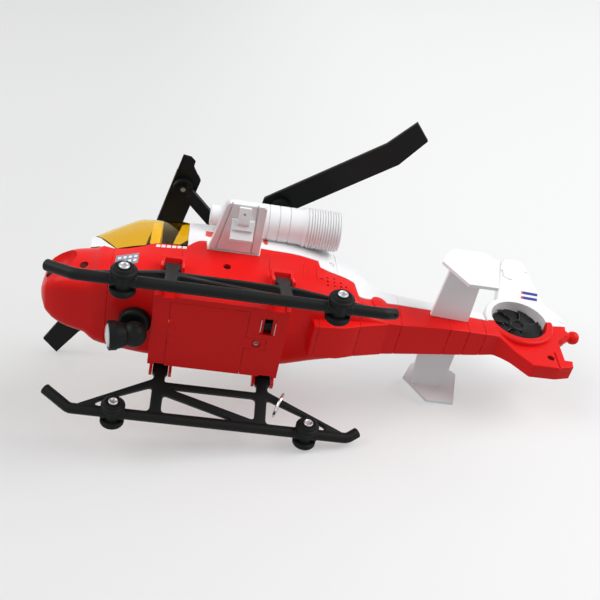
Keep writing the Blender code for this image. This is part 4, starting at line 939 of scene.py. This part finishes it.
class HELICOPTER_OT_red_shell(bpy.types.Operator):
    """Red lower shell with its tail block, sockets, panel lines and screw holes"""

    bl_idname = "helicopter.red_shell"
    bl_label = "Red shell"

    def fairing(self, depth):
        """Keel under the root of the boom with two panel lines around it."""
        keel = flat(FAIRING, 2 * FAIRING_HALF, 0.9)
        core = flat(FAIRING, 2 * (FAIRING_HALF - depth))
        core.transform(at(0.0, 0.0, depth))
        for x in (-1.0, 30.3):
            band = box((x - SLIT, -20.0, 38.0), (x + SLIT, 20.0, 54.0))
            keel = cut(keel, cut(band, core))
        return keel

    def scoops(self, shell):
        """Headlight scoops at both corners of the nose, with a black lamp in each."""
        arc = [(math.sin(math.pi * k / 16), -math.cos(math.pi * k / 16)) for k in range(1, 16)]
        x, y, z = SCOOP_AT
        for name, side in SIDES:
            facing = Vector((-0.62, side * 0.78, 0.1)).normalized()
            where = at(x, side * y, z) @ facing.to_track_quat("X", "Z").to_matrix().to_4x4()
            bowl = turned([(0.0, -1.0), *arc, (0.0, 1.0)], (0, 0, 0), (0, 0, 1), 40)
            bowl.transform(where @ at(2.2, 0.0, 4.0) @ Matrix.Diagonal((*SCOOP_HALVES, 1.0)))
            shell = cut(shell, bowl)
            low, high = sorted((side * 9.6, side * 0.5))
            lamp = box((-5.6, low, -8.6), (0.0, high, -1.0), 1.2)
            for k in range(4):
                slot = low + 1.2 + 1.8 * k
                lamp = cut(lamp, box((-0.5, slot, -7.8), (0.5, slot + 0.6, -1.8)))
            lamp.transform(where)
            add(f"nose_lamp_{name}", lamp, "black")
        return shell

    def sockets(self, shell):
        """Sockets for the heads of the skids, and a button on each side of the boom."""
        bottom, top = SOCKET_Z
        for _, side in SIDES:
            low, high = sorted(side * y for y in SOCKET_Y)
            for x in LEG_XS:
                first, last = x - SOCKET_HALF, x + SOCKET_HALF
                block = box((first, low, bottom), (last, high, top), 1.0)
                flank = rect(first, RISE + FLANK[0], last, RISE + FLANK[1])
                shell = join(shell, block, plate([flank], FLANK_THICK, truss_frame(side), 1.0))
            x, y, z = BUTTON_AT
            shell = join(shell, turned(BUTTON, (x, side * y, z), (0.26, side * 0.96, 0.0), 40))
        return shell

    def holes(self):
        """What is cut out of the shell: tail top, duct, skid pockets, screws, speaker and panel lines."""
        tools = [past_seam(TAIL_ROOT - 1.0, 250.0), duct_bore()]
        half = HEAD_HALF + GAP
        for _, side in SIDES:
            for x in LEG_XS:
                pocket = rect(x - half, POCKET_FROM, x + half, RISE + POCKET_PAST)
                outward = truss_frame(side) @ at(0.0, 0.0, -side * POCKET_OUT)
                tools.append(plate([pocket], POCKET_THICK, outward))
        for x, z, width in SCREWS:
            tools.append(rod((x, -width - 5.0, z), (0, 1, 0), SCREW_HOLE_R, SCREW_HOLE_DEEP, 24))
        tools.append(box((184.8, -20.0, 30.0), (186.4, -TAIL_HALF + 1.0, 58.0)))
        for x, count in SPEAKER_ROWS:
            for k in range(count):
                z = SPEAKER_Z - SPEAKER_FALL * x + SPEAKER_PITCH * (k - (count - 1) / 2)
                tools.append(rod((x, -red_width(x, z) - 1.0, z), (0, 1, 0), SPEAKER_HOLE_R, 3.4, 12))
        for x, low, high in UPRIGHTS:
            width = red_width(x, 76.0)
            tools.append(box((x - SLIT, -width - 3.0, low), (x + SLIT, -width + 0.7, high)))
        return tools

    def prints(self):
        """White bars under the canopy and a grey block with dashes on the left side."""
        for k in range(SIDE_BARS):
            x = SIDE_BAR_X + SIDE_BAR_PITCH * k
            bar = decal(((x, 87.0), (x + 2.9, 86.8), (x + 2.7, 83.5), (x - 0.2, 83.5)), red_width)
            add(f"side_bar_{k}", bar, "print_white")
        block = decal(((-150.5, 69.0), (-135.2, 74.5), (-134.8, 62.0), (-150.6, 57.5)), red_width)
        add("side_block", block, "foil")
        for k in range(8):
            x, z = -149.0 + 3.6 * (k % 4), (67.2 if k < 4 else 62.4) + 1.15 * (k % 4)
            corners = ((x, z), (x + 2.2, z + 0.7), (x + 2.2, z - 1.9), (x, z - 2.6))
            add(f"side_dash_{k}", decal(corners, red_width, -1, 0.2, 2), "print_white")

    def execute(self, context):
        depth = context.scene.helicopter_sizes.groove / MM
        shell = cut(red_skin(depth), red_hollow())
        room = box(Vector(BOX_LOW) - Vector((GAP, GAP, 14.0)), Vector(BOX_HIGH) + Vector((GAP, GAP, GAP)))
        shell = self.sockets(join(cut(shell, room), self.fairing(depth)))
        shell = join(shell, flat(TAIL_PLATE, 2 * TAIL_HALF, 0.9), duct_rim())
        shell = self.scoops(cut(shell, *self.holes()))
        add("red_shell", shell, "red", ("hull_left", "hull_right"))
        self.prints()
        return {"FINISHED"}


class HELICOPTER_OT_white_shell(bpy.types.Operator):
    """White upper shell and tail fin with their prints"""

    bl_idname = "helicopter.white_shell"
    bl_label = "White shell"

    def fin(self):
        """Tail fin with a hooked groove, two slits and two bars on its left side."""
        hook = plate([FIN_HOOK], 2.0, side_frame(-TAIL_HALF))
        tools = [past_seam(TAIL_ROOT - 9.0, 10.0, 0.5), duct_bore(), hook]
        for x, z, turn in FIN_SLITS:
            slit = box((-2.2, -1.0, -0.55), (2.2, 1.0, 0.55), 0.2)
            slit.transform(at(x, -TAIL_HALF, z) @ Matrix.Rotation(turn, 4, "Y"))
            tools.append(slit)
        fin = join(flat(ring_bent(FIN, 4.0), 2 * TAIL_HALF, 2.2), duct_rim())
        add("fin_shell", cut(fin, *tools), "white", ("tail_fin",))
        for k, (x, z) in enumerate(FIN_BAR_PLACES):
            for look, shift in (("print_red", 0.0), ("print_blue", 1.6)):
                corners = [(x + u + shift, z + v) for u, v in FIN_BAR]
                mark = decal(corners, lambda x, z: TAIL_HALF, -1, 0.06 + 0.03 * shift, 2)
                add(f"fin_{look}_{k}", mark, look)

    def execute(self, context):
        depth = context.scene.helicopter_sizes.groove / MM
        shell = white_skin(0.0, GAP, -101.5, 133.5, 4.0, depth, WHITE_LINES)
        shell = cut(shell, white_skin(-WALL, -6.0, -99.1, 128.0, 12.0))
        width = white_width(8.0, 100.0)
        mast_hole = rod((APEX[0], 0.0, 120.0), (0, 0, 1), 4.3, 40.0)
        notch = box((6.2, -width - 4.0, 97.6), (10.0, -width + 1.2, 102.6))
        add("white_shell", cut(shell, mast_hole, notch), "white", ("upper_hull",))
        for name, side in SIDES:
            corners = ((-89.5, 112.6), (-42.5, 112.6), (-42.5, 104.2), (-89.5, 104.2))
            add(f"hull_band_{name}", decal(corners, white_width, side), "print_red")
        self.fin()
        return {"FINISHED"}


class HELICOPTER_OT_cabin(bpy.types.Operator):
    """Amber canopy with its inner hoop, and the white cowl in front of it"""

    bl_idname = "helicopter.cabin"
    bl_label = "Cabin"

    def execute(self, context):
        sill = [(x, straight(RIM, x)[2] + GAP + 0.1) for x in (-102.0, -124.0, -132.0, -152.0)]
        side = flat([(-171.0, 111.5), (-171.0, 160.0), (-102.0, 160.0), *sill], 120.0)
        canopy = keep(cabin_skin(0.0, 0.0, 3.0), side)
        canopy = cut(canopy, cabin_skin(-CANOPY_WALL, 8.0, 3.0))
        add("canopy_shell", canopy, "amber", ("canopy",))
        band = box((-129.0, -60.0, 91.0), (-122.0, 60.0, 170.0))
        hoop = keep(cabin_skin(-CANOPY_WALL - GAP, 0.0, 3.0), band)
        add("cabin_hoop", cut(hoop, cabin_skin(-CANOPY_WALL - 1.8, 8.0, 3.0)), "white")
        add("cowl", softened("cockpit_tub", 0.0004, 1), "white", ("cockpit_tub",))
        return {"FINISHED"}


class HELICOPTER_OT_nacelles(bpy.types.Operator):
    """Engine nacelles with ring grooves and a ribbed exhaust"""

    bl_idname = "helicopter.nacelles"
    bl_label = "Engine nacelles"

    def profile(self, ribs):
        """Radius and x from the intake at the front to the bore of the exhaust."""
        body, dip = NACELLE_R - 1.6, NACELLE_R - RIB_HEIGHT
        line = [(0.0, -87.2), (5.4, -87.2), (6.0, -88.0), (7.2, -87.8), (7.8, -87.0), (7.8, -78.4)]
        line += [(8.3, -77.9), (10.8, -77.5), (11.8, -77.0), (13.0, -75.2), (13.6, -73.4), (body, -71.6)]
        for x in NACELLE_LINES:
            line += [(body, x - 0.5), (body - 0.7, x - 0.3), (body - 0.7, x + 0.3), (body, x + 0.5)]
        line += [(body, -18.6), (NACELLE_R, -15.6), (NACELLE_R, -15.0), (dip, -14.8), (dip, -13.6)]
        pitch = (RIBS_TO - RIBS_FROM) / ribs
        for i in range(ribs):
            x = RIBS_FROM + pitch * i
            line += [(NACELLE_R, x + 0.12 * pitch), (NACELLE_R, x + 0.68 * pitch)]
            line += [(dip, x + 0.8 * pitch), (dip, x + pitch)]
        rim = ((0.4, 10.7), (0.8, 11.5), (3.6, 11.5), (4.2, 10.9), (4.6, 5.0), (NACELLE_R, 5.0))
        return line + [(NACELLE_R - inward, x) for inward, x in rim]

    def execute(self, context):
        profile = self.profile(context.scene.helicopter_sizes.ribs)
        for name, side in SIDES:
            pod = turned(profile, (0.0, side * NACELLE_Y, NACELLE_Z), (1, 0, 0), 64)
            pod = cut(pod, white_skin(GAP, -30.0, -130.0, 133.5, 6.0))
            add(f"nacelle_{name}", pod, "white", (f"engine_{name}",))
        return {"FINISHED"}


class HELICOPTER_OT_wings(bpy.types.Operator):
    """Stub wings with their clips, and the stabilisers with end plates"""

    bl_idname = "helicopter.wings"
    bl_label = "Wings and stabilisers"

    def groove(self, first, last, width, low, high):
        """A slot along a line in plan, between two heights."""
        a, b = Vector(first), Vector(last)
        off = Vector((b.y - a.y, a.x - b.x)).normalized() * width / 2
        plan = [tuple(a + off), tuple(b + off), tuple(b - off), tuple(a - off)]
        return plate([plan], high - low, at(0.0, 0.0, (high + low) / 2))

    def wing(self, side):
        wing = plate([[(x, side * y) for x, y in WING_PLAN]], WING_THICK, at(0.0, 0.0, WING_Z), 0.7)
        for (x0, y0), (x1, y1) in WING_LINES:
            for low, high in WING_LINE_HEIGHTS:
                wing = cut(wing, self.groove((x0, side * y0), (x1, side * y1), WING_LINE_WIDTH, low, high))
        return wing

    def clip(self, side):
        blocks = []
        for outline, middle, width in CLIP:
            mirrored_outline = [(side * y, z) for y, z in outline]
            blocks.append(plate([mirrored_outline], width, at(middle, 0.0, 0.0) @ ACROSS, 0.35))
        return cut(join(*blocks), rod((-64.7, side * 74.0, 80.0), (0, 0, 1), 1.2, 6.0, 20))

    def execute(self, context):
        edge = context.scene.helicopter_sizes.edge
        for name, side in SIDES:
            add(f"stub_wing_{name}", self.wing(side), "white", (f"wing_{name}",))
            add(f"clip_{name}", self.clip(side), "white", (f"wing_clip_{name}",))
            stabiliser = f"stabiliser_{name}"
            add(f"tailplane_{name}", softened(stabiliser, edge * 0.7), "white", (stabiliser,))
        return {"FINISHED"}


class HELICOPTER_OT_rotor(bpy.types.Operator):
    """Rotor hub with its arms, and the hinged blades"""

    bl_idname = "helicopter.rotor"
    bl_label = "Main rotor"

    def execute(self, context):
        edge = context.scene.helicopter_sizes.edge
        hub = softened("rotor_hub", edge * 0.6, 2, (((0, 0, -1), 300.0, 1.1, 0.6),))
        studs = []
        slope = Matrix.Rotation(math.radians(DROOP), 4, "Y")
        for k in range(4):
            arm = at(*APEX) @ Matrix.Rotation(-math.radians(ARM_TURN + 90.0 * k), 4, "Z") @ slope
            stud = turned(STUD, (0, 0, 0), (0, 0, 1), 20)
            stud.transform(arm @ at(PIN_RADIUS - 7.6, 0.0, -5.3))
            studs.append(stud)
            eye = turned(PIN_EYE, (0, 0, 0), (0, 0, 1), 20)
            eye.transform(arm @ at(PIN_RADIUS, 0.0, -7.3))
            add(f"pin_eye_{k + 1}", eye, "dull", body="main_rotor")
        cap = [(0.0, 0.6), (9.0, 0.6), (9.6, 1.2), (9.6, 2.4), (8.4, 3.4), (4.0, 4.0), (0.0, 4.1)]
        studs.append(turned(cap, APEX, (0, 0, 1), 40))
        add("hub_spider", join(hub, *studs), "black", ("rotor_hub",), "main_rotor")
        panels = (((0, 0, -1), 200.0, 1.4, 0.35), ((0, 0, 1), 200.0, 1.4, 0.35))
        for k in range(1, 5):
            node = f"rotor_blade_{k}"
            add(f"blade_{k}", softened(node, edge * 0.6, 2, panels), "black", (node,), f"blade_{k}")
            dress(f"blade_pin_{k}", "gunmetal")
        dress("rotor_mast", "steel")
        return {"FINISHED"}


class HELICOPTER_OT_tail(bpy.types.Operator):
    """Tail fan in its duct and the knob behind it"""

    bl_idname = "helicopter.tail"
    bl_label = "Tail fan"

    def blade(self, start):
        """A pitched fan blade between the hub and the duct."""
        rings = []
        for i in range(6):
            radius = FAN_ROOT_R + FAN_SPAN * i / 5
            front, back = [], []
            for j in range(8):
                t = j / 7
                angle = math.radians(start + FAN_SWEEP * (i / 5) ** 2 + FAN_CHORD * t)
                x, z = DUCT_X + radius * math.cos(angle), DUCT_Z + radius * math.sin(angle)
                y = -0.3 - FAN_PITCH * t - 0.4 * math.sin(math.pi * t)
                front.append((x, y - FAN_HALF, z))
                back.append((x, y + FAN_HALF, z))
            rings.append(front + back[::-1])
        return loft(rings)

    def knob(self):
        """Ball behind the tail on a horn that narrows towards it."""
        line = [(0.0, 0.0), (3.2, 0.0), (3.2, 0.6), (2.9, 1.4), (2.8, 3.0), (3.4, 3.9), (4.6, 4.7)]
        line += [(5.2, 6.0), (5.3, 7.6), (5.1, 9.2), (4.5, 10.5), (3.6, 11.4), (2.2, 11.8), (0.0, 11.8)]
        ways = [math.tau * i / 32 for i in range(32)]
        rings = []
        for x, wide, tall in HORN:
            rings.append([(TAIL_END + x, wide * math.cos(a), KNOB_Z + tall * math.sin(a)) for a in ways])
        return join(turned(line, (TAIL_END + GAP, 0.0, KNOB_Z), (1, 0, 0), 40), loft(rings))

    def execute(self, context):
        edge = context.scene.helicopter_sizes.edge
        hub = [(0.0, -3.9), (4.4, -3.9), (4.8, -5.0), (6.2, -5.1), (7.1, -4.5), (7.5, -3.4), (7.5, -2.7)]
        flange = [(9.8, -2.7), (10.1, -2.3), (10.1, -1.7), (9.8, -1.3), (7.5, -1.3)]
        bore = [(7.5, 3.0), (1.8, 3.0), (1.8, -1.3), (0.0, -1.3)]
        core = turned(hub + flange + bore, (DUCT_X, 0.0, DUCT_Z), (0, 1, 0), 48)
        fan = merged(core, *(self.blade(360.0 / FAN_BLADES * k) for k in range(FAN_BLADES)))
        add("fan_rotor", fan, "fan", ("tail_fan",), "fan")
        add("fan_spider", softened("fan_mount", edge * 0.5), "black", ("fan_mount",))
        add("knob", self.knob(), "red", ("tail_knob",))
        dress("fan_axle", "steel")
        return {"FINISHED"}


class HELICOPTER_OT_skids(bpy.types.Operator):
    """Truss skids with their wheels, rivets and the hung ring"""

    bl_idname = "helicopter.skids"
    bl_label = "Skids"

    def truss(self):
        """Outline of a truss in its own plane and the four gaps in it, all with round corners."""
        bar = 3.1
        foot = 3.6
        top = RISE * 0.7
        low = top - 4.8
        front, rear = LEG_XS
        nose, heel = SKID_FRONT + 17.0, SKID_REAR - 17.5
        front_a, front_b = front - LEG_HALF, front + LEG_HALF
        rear_a, rear_b = rear - LEG_HALF, rear + LEG_HALF

        def line(u0, v0, u1, v1, u):
            return v0 + (v1 - v0) * (u - u0) / (u1 - u0)

        def head(x):
            neck, reach = RISE - 6.5, RISE + 9.5
            half = [(LEG_HALF, neck), (HEAD_HALF, neck + 1.0), (HEAD_HALF, reach)]
            return [(x - u, v) for u, v in half] + [(x + u, v) for u, v in reversed(half)]

        a = (SKID_FRONT + 1.0, 3.0, front_a, top - 1.5)
        b = (rear_b, top - 1.5, SKID_REAR - 2.0, 3.6)
        c = (front_b, low - 2.0, rear_a, 2.4)
        rim = [
            (SKID_FRONT + 1.0, -1.0), (SKID_FRONT + 4.0, 3.4), (front_a, line(*a, front_a) + bar),
            *head(front), (front_b, top), (rear_a, top), *head(rear), (rear_b, line(*b, rear_b) + bar),
            (SKID_REAR - 4.0, 3.5), (SKID_REAR - 2.0, -1.0),
        ]
        slant = (c[3] - c[1]) / (c[2] - c[0])
        nose_top, heel_top = (max(line(*strut, u) - bar, foot + 1.0) for strut, u in ((a, nose), (b, heel)))
        gaps = [
            [(nose, foot), (front_a, foot), (front_a, line(*a, front_a) - bar), (nose, nose_top)],
            [(rear_b, foot), (heel, foot), (heel, heel_top), (rear_b, line(*b, rear_b) - bar)],
            [(front_b, foot), (c[0] + (foot + bar - c[1]) / slant, foot), (front_b, c[1] - bar)],
            [
                (max(c[0] + (low - bar - c[1]) / slant, front_b + 1.0), low),
                (rear_a, line(*c, rear_a) + bar), (rear_a, low),
            ],
        ]
        return [ring_bent(rim, 1.6)] + [ring_bent(gap, 3.2) for gap in gaps]

    def runner(self, side):
        y = side * SKID_Y
        path = [
            (SKID_FRONT + TOE[0], y - side * TOE[1], SKID_Z + TOE[2]), (SKID_FRONT - 1.0, y, SKID_Z),
            (SKID_REAR, y, SKID_Z), (SKID_REAR + HEEL[0], y - side * HEEL[1], SKID_Z + HEEL[2]),
        ]
        dome = [(0.0, -0.75), (3.0, -0.7), (3.5, -0.5), (3.9, 0.0), (3.97, 0.4), (3.97, 2.0), (0.0, 2.0)]
        solids = [plate(self.truss(), SKID_PLATE, truss_frame(side), 1.1)]
        for end, inward in ((path[0], path[1]), (path[3], path[2])):
            solids.append(turned(dome, end, Vector(inward) - Vector(end), 36))
        collar = [(0.0, -8.5), (4.4, -8.5), (4.75, -7.9), (4.75, 7.9), (4.4, 8.5), (0.0, 8.5)]
        hub = [(0.0, -4.8), (5.2, -4.8), (5.6, -4.3), (5.6, 4.3), (5.2, 4.8), (0.0, 4.8)]
        for x in AXLE_XS.values():
            for line, way in ((collar, (1, 0, 0)), (hub, (0, 1, 0))):
                solids.append(turned(line, (x, y, SKID_Z), way, 36))
        return join(tube(bent(path, SKID_BEND, 4), SKID_TUBE_R, 6), *solids)

    def execute(self, context):
        tyre = [(1.85, 0.0), (7.0, 0.0), (8.0, 0.3), (8.6, 0.8), (8.75, 1.4), (8.75, 3.3), (8.5, 3.8)]
        tyre += [(7.5, 4.3), (7.25, 4.5), (6.5, 5.75), (6.15, 6.0), (5.3, 6.0), (4.9, 5.6), (1.85, 5.6)]
        head = [(1.2, 11.3), (3.5, 11.3), (3.6, 11.6), (3.4, 12.1), (2.9, 12.5), (2.3, 12.4), (1.8, 11.9)]
        head += [(1.5, 11.0), (0.0, 10.8)]
        rivet = [(r, -d) for r, d in reversed(head)] + head
        for name, side in SIDES:
            add(f"skid_frame_{name}", self.runner(side), "black", (f"skid_{name}",))
            for end, x in AXLE_XS.items():
                corner = f"{end}_{name}"
                body = f"wheelset_{corner}"
                centre = Vector((x, side * SKID_Y, SKID_Z))
                mesh = turned(rivet, centre, (0, 1, 0), 40)
                add(f"rivet_{corner}", mesh, "steel", (f"axle_{corner}",), body)
                for place, way in (("inner", -side), ("outer", side)):
                    mesh = turned(tyre, centre + Vector((0.0, way * WHEEL_OUT, 0.0)), (0, way, 0), 48)
                    add(f"roller_{corner}_{place}", mesh, "tyre", (f"wheel_{corner}_{place}",), body)
        dress("hook_ring", "chrome", 60.0)
        return {"FINISHED"}


class HELICOPTER_OT_belly(bpy.types.Operator):
    """Battery box with its door, switch, cells and board"""

    bl_idname = "helicopter.belly"
    bl_label = "Belly box"

    def door(self, edge):
        add("door_panel", softened("battery_door", edge * 0.8), "red", ("battery_door",), "door")
        screw = [(0.0, 1.6), (0.7, 1.6), (0.9, 0.6), (1.4, 0.2), (1.75, 0.5), (1.9, 1.0), (1.5, 1.2)]
        screw = turned([*screw, (1.5, 3.4), (0.0, 3.4)], (-44.8, 1.1, 34.0), (0, 0, 1), 32)
        add("captive_screw", screw, "dull", ("door_screw",), "door")
        rib = box((-106.9, -8.2, 33.3), (-103.6, 12.4, 34.4), 0.5)
        rib = cut(rib, box((-105.8, -4.0, 33.0), (-104.7, 8.0, 33.8), 0.2))
        add("door_rib", rib, "red", body="door")

    def switch(self):
        thumb = box((-41.1, -18.7, 34.4), (-35.9, -12.3, 37.0), 0.5)
        slider = join(thumb, box((-45.3, -18.7, 36.5), (-31.7, -12.3, 38.4), 0.3))
        for k in range(4):
            slider = cut(slider, box((-43.4, -17.9 + 1.5 * k, 34.0), (-33.6, -17.2 + 1.5 * k, 35.1)))
        add("switch_slider", slider, "black", ("power_switch",), "switch")
        rails = (((-43.9, -21.2, 33.9), (-43.4, -10.2, 35.6)), ((-33.6, -19.6, 33.9), (-33.1, -8.6, 35.6)))
        add("switch_rails", merged(*(box(*corners, 0.12) for corners in rails)), "steel")
        ledges = (((-44.2, -23.2, 35.3), (-41.4, -7.8, 36.2)), ((-35.6, -23.2, 35.3), (-32.8, -7.8, 36.2)))
        add("switch_floor", merged(*(box(*corners, 0.15) for corners in ledges)), "red")

    def execute(self, context):
        edge = context.scene.helicopter_sizes.edge
        add("box_shell", softened("belly_box", edge), "red", ("belly_box",))
        self.door(edge)
        self.switch()
        for k in (1, 2, 3):
            dress(f"battery_{k}", "cell")
            # The hull screws take dark red steel: painted shade of their holes.
            dress(f"hull_screw_{k}", "sunk")
        for name, _ in SIDES:
            dress(f"contact_{name}", "steel")
        dress("circuit_board", "board")
        dress("speaker", "black")
        return {"FINISHED"}


class HELICOPTER_OT_searchlight(bpy.types.Operator):
    """Searchlight under the nose: foot, tilting head, reflector and ringed lens"""

    bl_idname = "helicopter.searchlight"
    bl_label = "Searchlight"

    def foot(self):
        x, _, z = PIVOT
        foot = [(0.0, -6.5), (8.8, -6.5), (10.4, -6.1), (11.2, -5.2), (11.5, -4.0), (11.5, -1.5)]
        foot += [(10.9, -1.1), (10.9, -0.1), (0.0, -0.1)]
        foot = turned(foot, (LIGHT_X, 0.0, 44.0), (0, 0, 1), 56)
        stem = box((x - 4.0, -3.4, z), (x + 4.0, 3.4, 40.0), 0.8)
        foot = join(foot, stem, rod((x, -3.4, z), (0, 1, 0), 4.6, 6.8))
        return cut(foot, rod((x, -10.0, z), (0, 1, 0), 1.9, 20.0))

    def head(self):
        x, _, z = PIVOT
        bell = [(0.0, 5.2), (7.2, 5.2), (8.4, 6.2), (9.2, 8.6), (9.7, 11.6), (10.4, 12.4), (10.5, 13.0)]
        bell += [(10.5, 17.5), (10.1, 18.0), (9.3, 18.0), (9.0, 17.5), (8.7, 13.5), (6.0, 11.4), (0.0, 10.5)]
        arc = [(9.3 * math.sin(math.pi * k / 20), -9.3 * math.cos(math.pi * k / 20)) for k in range(1, 20)]
        ball = [(0.0, -9.3), *arc, (0.0, 9.3)]
        head = join(turned(bell, PIVOT, LIGHT_AIM, 56), turned(ball, PIVOT, (0, 1, 0), 48))
        knob = [(0.0, 7.0), (3.2, 7.0), (3.2, 9.3), (2.8, 9.7), (1.5, 9.7), (1.2, 9.3), (0.0, 9.3)]
        head = join(head, *(turned(knob, PIVOT, (0, side, 0), 36) for _, side in SIDES))
        slot = box((x - 9.6, -3.8, z - 0.5), (x + 9.6, 3.8, z + 9.8))
        head = cut(head, rod((x, -3.8, z), (0, 1, 0), 5.1, 7.6), slot)
        return join(head, rod((x, -6.0, z), (0, 1, 0), 1.6, 12.0))

    def execute(self, context):
        add("lamp_foot", self.foot(), "black", ("light_base",), "searchlight_base")
        add("lamp_bell", self.head(), "black", ("light_head",), "searchlight_head")
        bowl = [(0.0, 11.0), (5.8, 11.9), (8.3, 14.2), (8.4, 15.0), (8.0, 15.0), (5.6, 12.4), (0.0, 11.5)]
        add("lamp_bowl", turned(bowl, PIVOT, LIGHT_AIM, 48), "reflector", body="searchlight_head")
        lens = [(0.0, 15.2), (8.4, 15.2), (8.45, 17.2), (8.1, 18.1), (7.3, 18.5), (6.6, 18.9), (5.6, 19.0)]
        lens += [(5.0, 19.3), (4.0, 19.35), (3.4, 19.6), (2.4, 19.6), (1.6, 19.8), (0.0, 19.8)]
        add("lamp_glass", turned(lens, PIVOT, LIGHT_AIM, 48), "lens", ("light_lens",), "searchlight_head")
        return {"FINISHED"}


FLOOR_NORMAL = Vector((-0.179, -0.971, 0.159)).normalized()
FLOOR_REACH = -71.2
FLOOR_HALF = 6.0
FLOOR_GLOW = 0.45
CAMERA_AT = (-103.9, -418.1, -455.6)
CAMERA_TURN = (-12.51, -51.91, -2.53)
CAMERA_LENS = 54.0
LAMP_AIM_Z = 0.08


class HELICOPTER_OT_stage(bpy.types.Operator):
    """Pale floor that the toy lies on, soft light and the camera"""

    bl_idname = "helicopter.stage"
    bl_label = "Stage"

    def place(self, name, data):
        made = bpy.data.objects.new(name, data)
        bpy.context.scene.collection.objects.link(made)
        return made

    def lamp(self, name, aim, distance, size, power):
        data = bpy.data.lights.new(name, "AREA")
        data.shape = "DISK"
        data.size = size
        data.energy = power
        lamp = self.place(name, data)
        lamp.location = Vector((0.0, 0.0, LAMP_AIM_Z)) + aim.normalized() * distance
        lamp.rotation_euler = aim.to_track_quat("Z", "Y").to_euler()

    def camera(self, scene):
        """The photograph's camera; gives back its right and upward ways."""
        az, el, roll = (math.radians(a) for a in CAMERA_TURN)
        ahead = Vector((-math.sin(az) * math.cos(el), math.cos(az) * math.cos(el), -math.sin(el)))
        right = Vector((math.cos(az), math.sin(az), 0.0))
        up = right.cross(ahead)
        across = right * math.cos(roll) + up * math.sin(roll)
        upward = up * math.cos(roll) - right * math.sin(roll)
        data = bpy.data.cameras.new("camera")
        data.lens = CAMERA_LENS
        data.sensor_width = 36.0
        data.clip_start = 0.01
        data.clip_end = 50.0
        scene.camera = self.place("camera", data)
        turn = Matrix((across, upward, -ahead)).transposed().to_4x4()
        scene.camera.matrix_world = at(*CAMERA_AT) @ turn
        return across, upward

    def floor(self):
        """Paper under the lying toy, seen from its upper side only."""
        bm = bmesh.new()
        bmesh.ops.create_grid(bm, x_segments=8, y_segments=8, size=FLOOR_HALF)
        mesh = done(bm, "floor")
        if mesh.polygons[0].normal.z < 0:
            mesh.flip_normals()
        mesh.transform(FLOOR_NORMAL.to_track_quat("Z", "Y").to_matrix().to_4x4())
        mesh.transform(at(*(FLOOR_NORMAL * FLOOR_REACH)))
        look = Look("floor_paper")
        tone = look.mix(look.noise(2.0, 2.0), (0.77, 0.772, 0.772), (0.79, 0.79, 0.79))
        look.set(Base_Color=tone, Roughness=0.9)
        # The glow is darker towards -X and brighter towards +X: a painted falloff of light across the floor.
        painted_falloff = look.mix(look.axis(0).smooth(-0.3, 0.25), (0.735, 0.735, 0.73), (0.975, 0.975, 0.975))
        glow = look.node("ShaderNodeEmission", {}, {"Color": painted_falloff})
        paper = look.blend(look.seen() * FLOOR_GLOW, look.shader, glow)
        behind = look.node("ShaderNodeNewGeometry", output="Backfacing")
        look.show(look.blend(behind, paper, look.node("ShaderNodeBsdfTransparent")))
        mesh.materials.append(look.owner)
        floor = self.place("floor", mesh)
        floor.visible_diffuse = False
        floor.visible_shadow = False

    def execute(self, context):
        scene = context.scene
        scene.view_settings.view_transform = "Standard"
        across, upward = self.camera(scene)
        self.floor()
        world = Look("studio", "worlds", "Background", "OutputWorld")
        world.set(Color=(0.97, 0.985, 1.0), Strength=0.44)
        backdrop = world.node("ShaderNodeBackground", {}, {"Color": (0.87, 0.875, 0.88)})
        world.show(world.blend(world.seen(), world.shader, backdrop))
        scene.world = world.owner
        toward = FLOOR_NORMAL - upward * 0.1
        self.lamp("key_right", toward + across * 1.05, 4.2, 3.2, 132.0)
        self.lamp("key_left", toward - across * 0.7, 4.2, 3.2, 76.0)
        self.lamp("back", Vector((0.2, 1.0, 0.7)), 1.5, 1.2, 3.0)
        return {"FINISHED"}


class HELICOPTER_PT_panel(bpy.types.Panel):
    """Sidebar with the colours, the sizes and a button for each group of pieces"""

    bl_idname = "HELICOPTER_PT_panel"
    bl_label = "Toy Helicopter"
    bl_space_type = "VIEW_3D"
    bl_region_type = "UI"
    bl_category = "Toy Helicopter"

    def draw(self, context):
        layout = self.layout
        for group in (context.scene.helicopter_colours, context.scene.helicopter_sizes):
            for key in group.__annotations__:
                layout.prop(group, key)
        for operator in OPERATORS:
            layout.operator(operator.bl_idname)


OPERATORS = (
    HELICOPTER_OT_stage,
    HELICOPTER_OT_red_shell,
    HELICOPTER_OT_white_shell,
    HELICOPTER_OT_cabin,
    HELICOPTER_OT_nacelles,
    HELICOPTER_OT_wings,
    HELICOPTER_OT_rotor,
    HELICOPTER_OT_tail,
    HELICOPTER_OT_skids,
    HELICOPTER_OT_belly,
    HELICOPTER_OT_searchlight,
)
CLASSES = (HelicopterColours, HelicopterSizes, *OPERATORS, HELICOPTER_PT_panel)


def register():
    for each in CLASSES:
        bpy.utils.register_class(each)
    bpy.types.Scene.helicopter_colours = PointerProperty(type=HelicopterColours)
    bpy.types.Scene.helicopter_sizes = PointerProperty(type=HelicopterSizes)


def unregister():
    del bpy.types.Scene.helicopter_sizes
    del bpy.types.Scene.helicopter_colours
    for each in reversed(CLASSES):
        bpy.utils.unregister_class(each)


def main():
    register()
    bpy.ops.helicopter.stage()
    bpy.ops.helicopter.red_shell()
    bpy.ops.helicopter.white_shell()
    bpy.ops.helicopter.cabin()
    bpy.ops.helicopter.nacelles()
    bpy.ops.helicopter.wings()
    bpy.ops.helicopter.rotor()
    bpy.ops.helicopter.tail()
    bpy.ops.helicopter.skids()
    bpy.ops.helicopter.belly()
    bpy.ops.helicopter.searchlight()


if __name__ == "__main__":
    main()
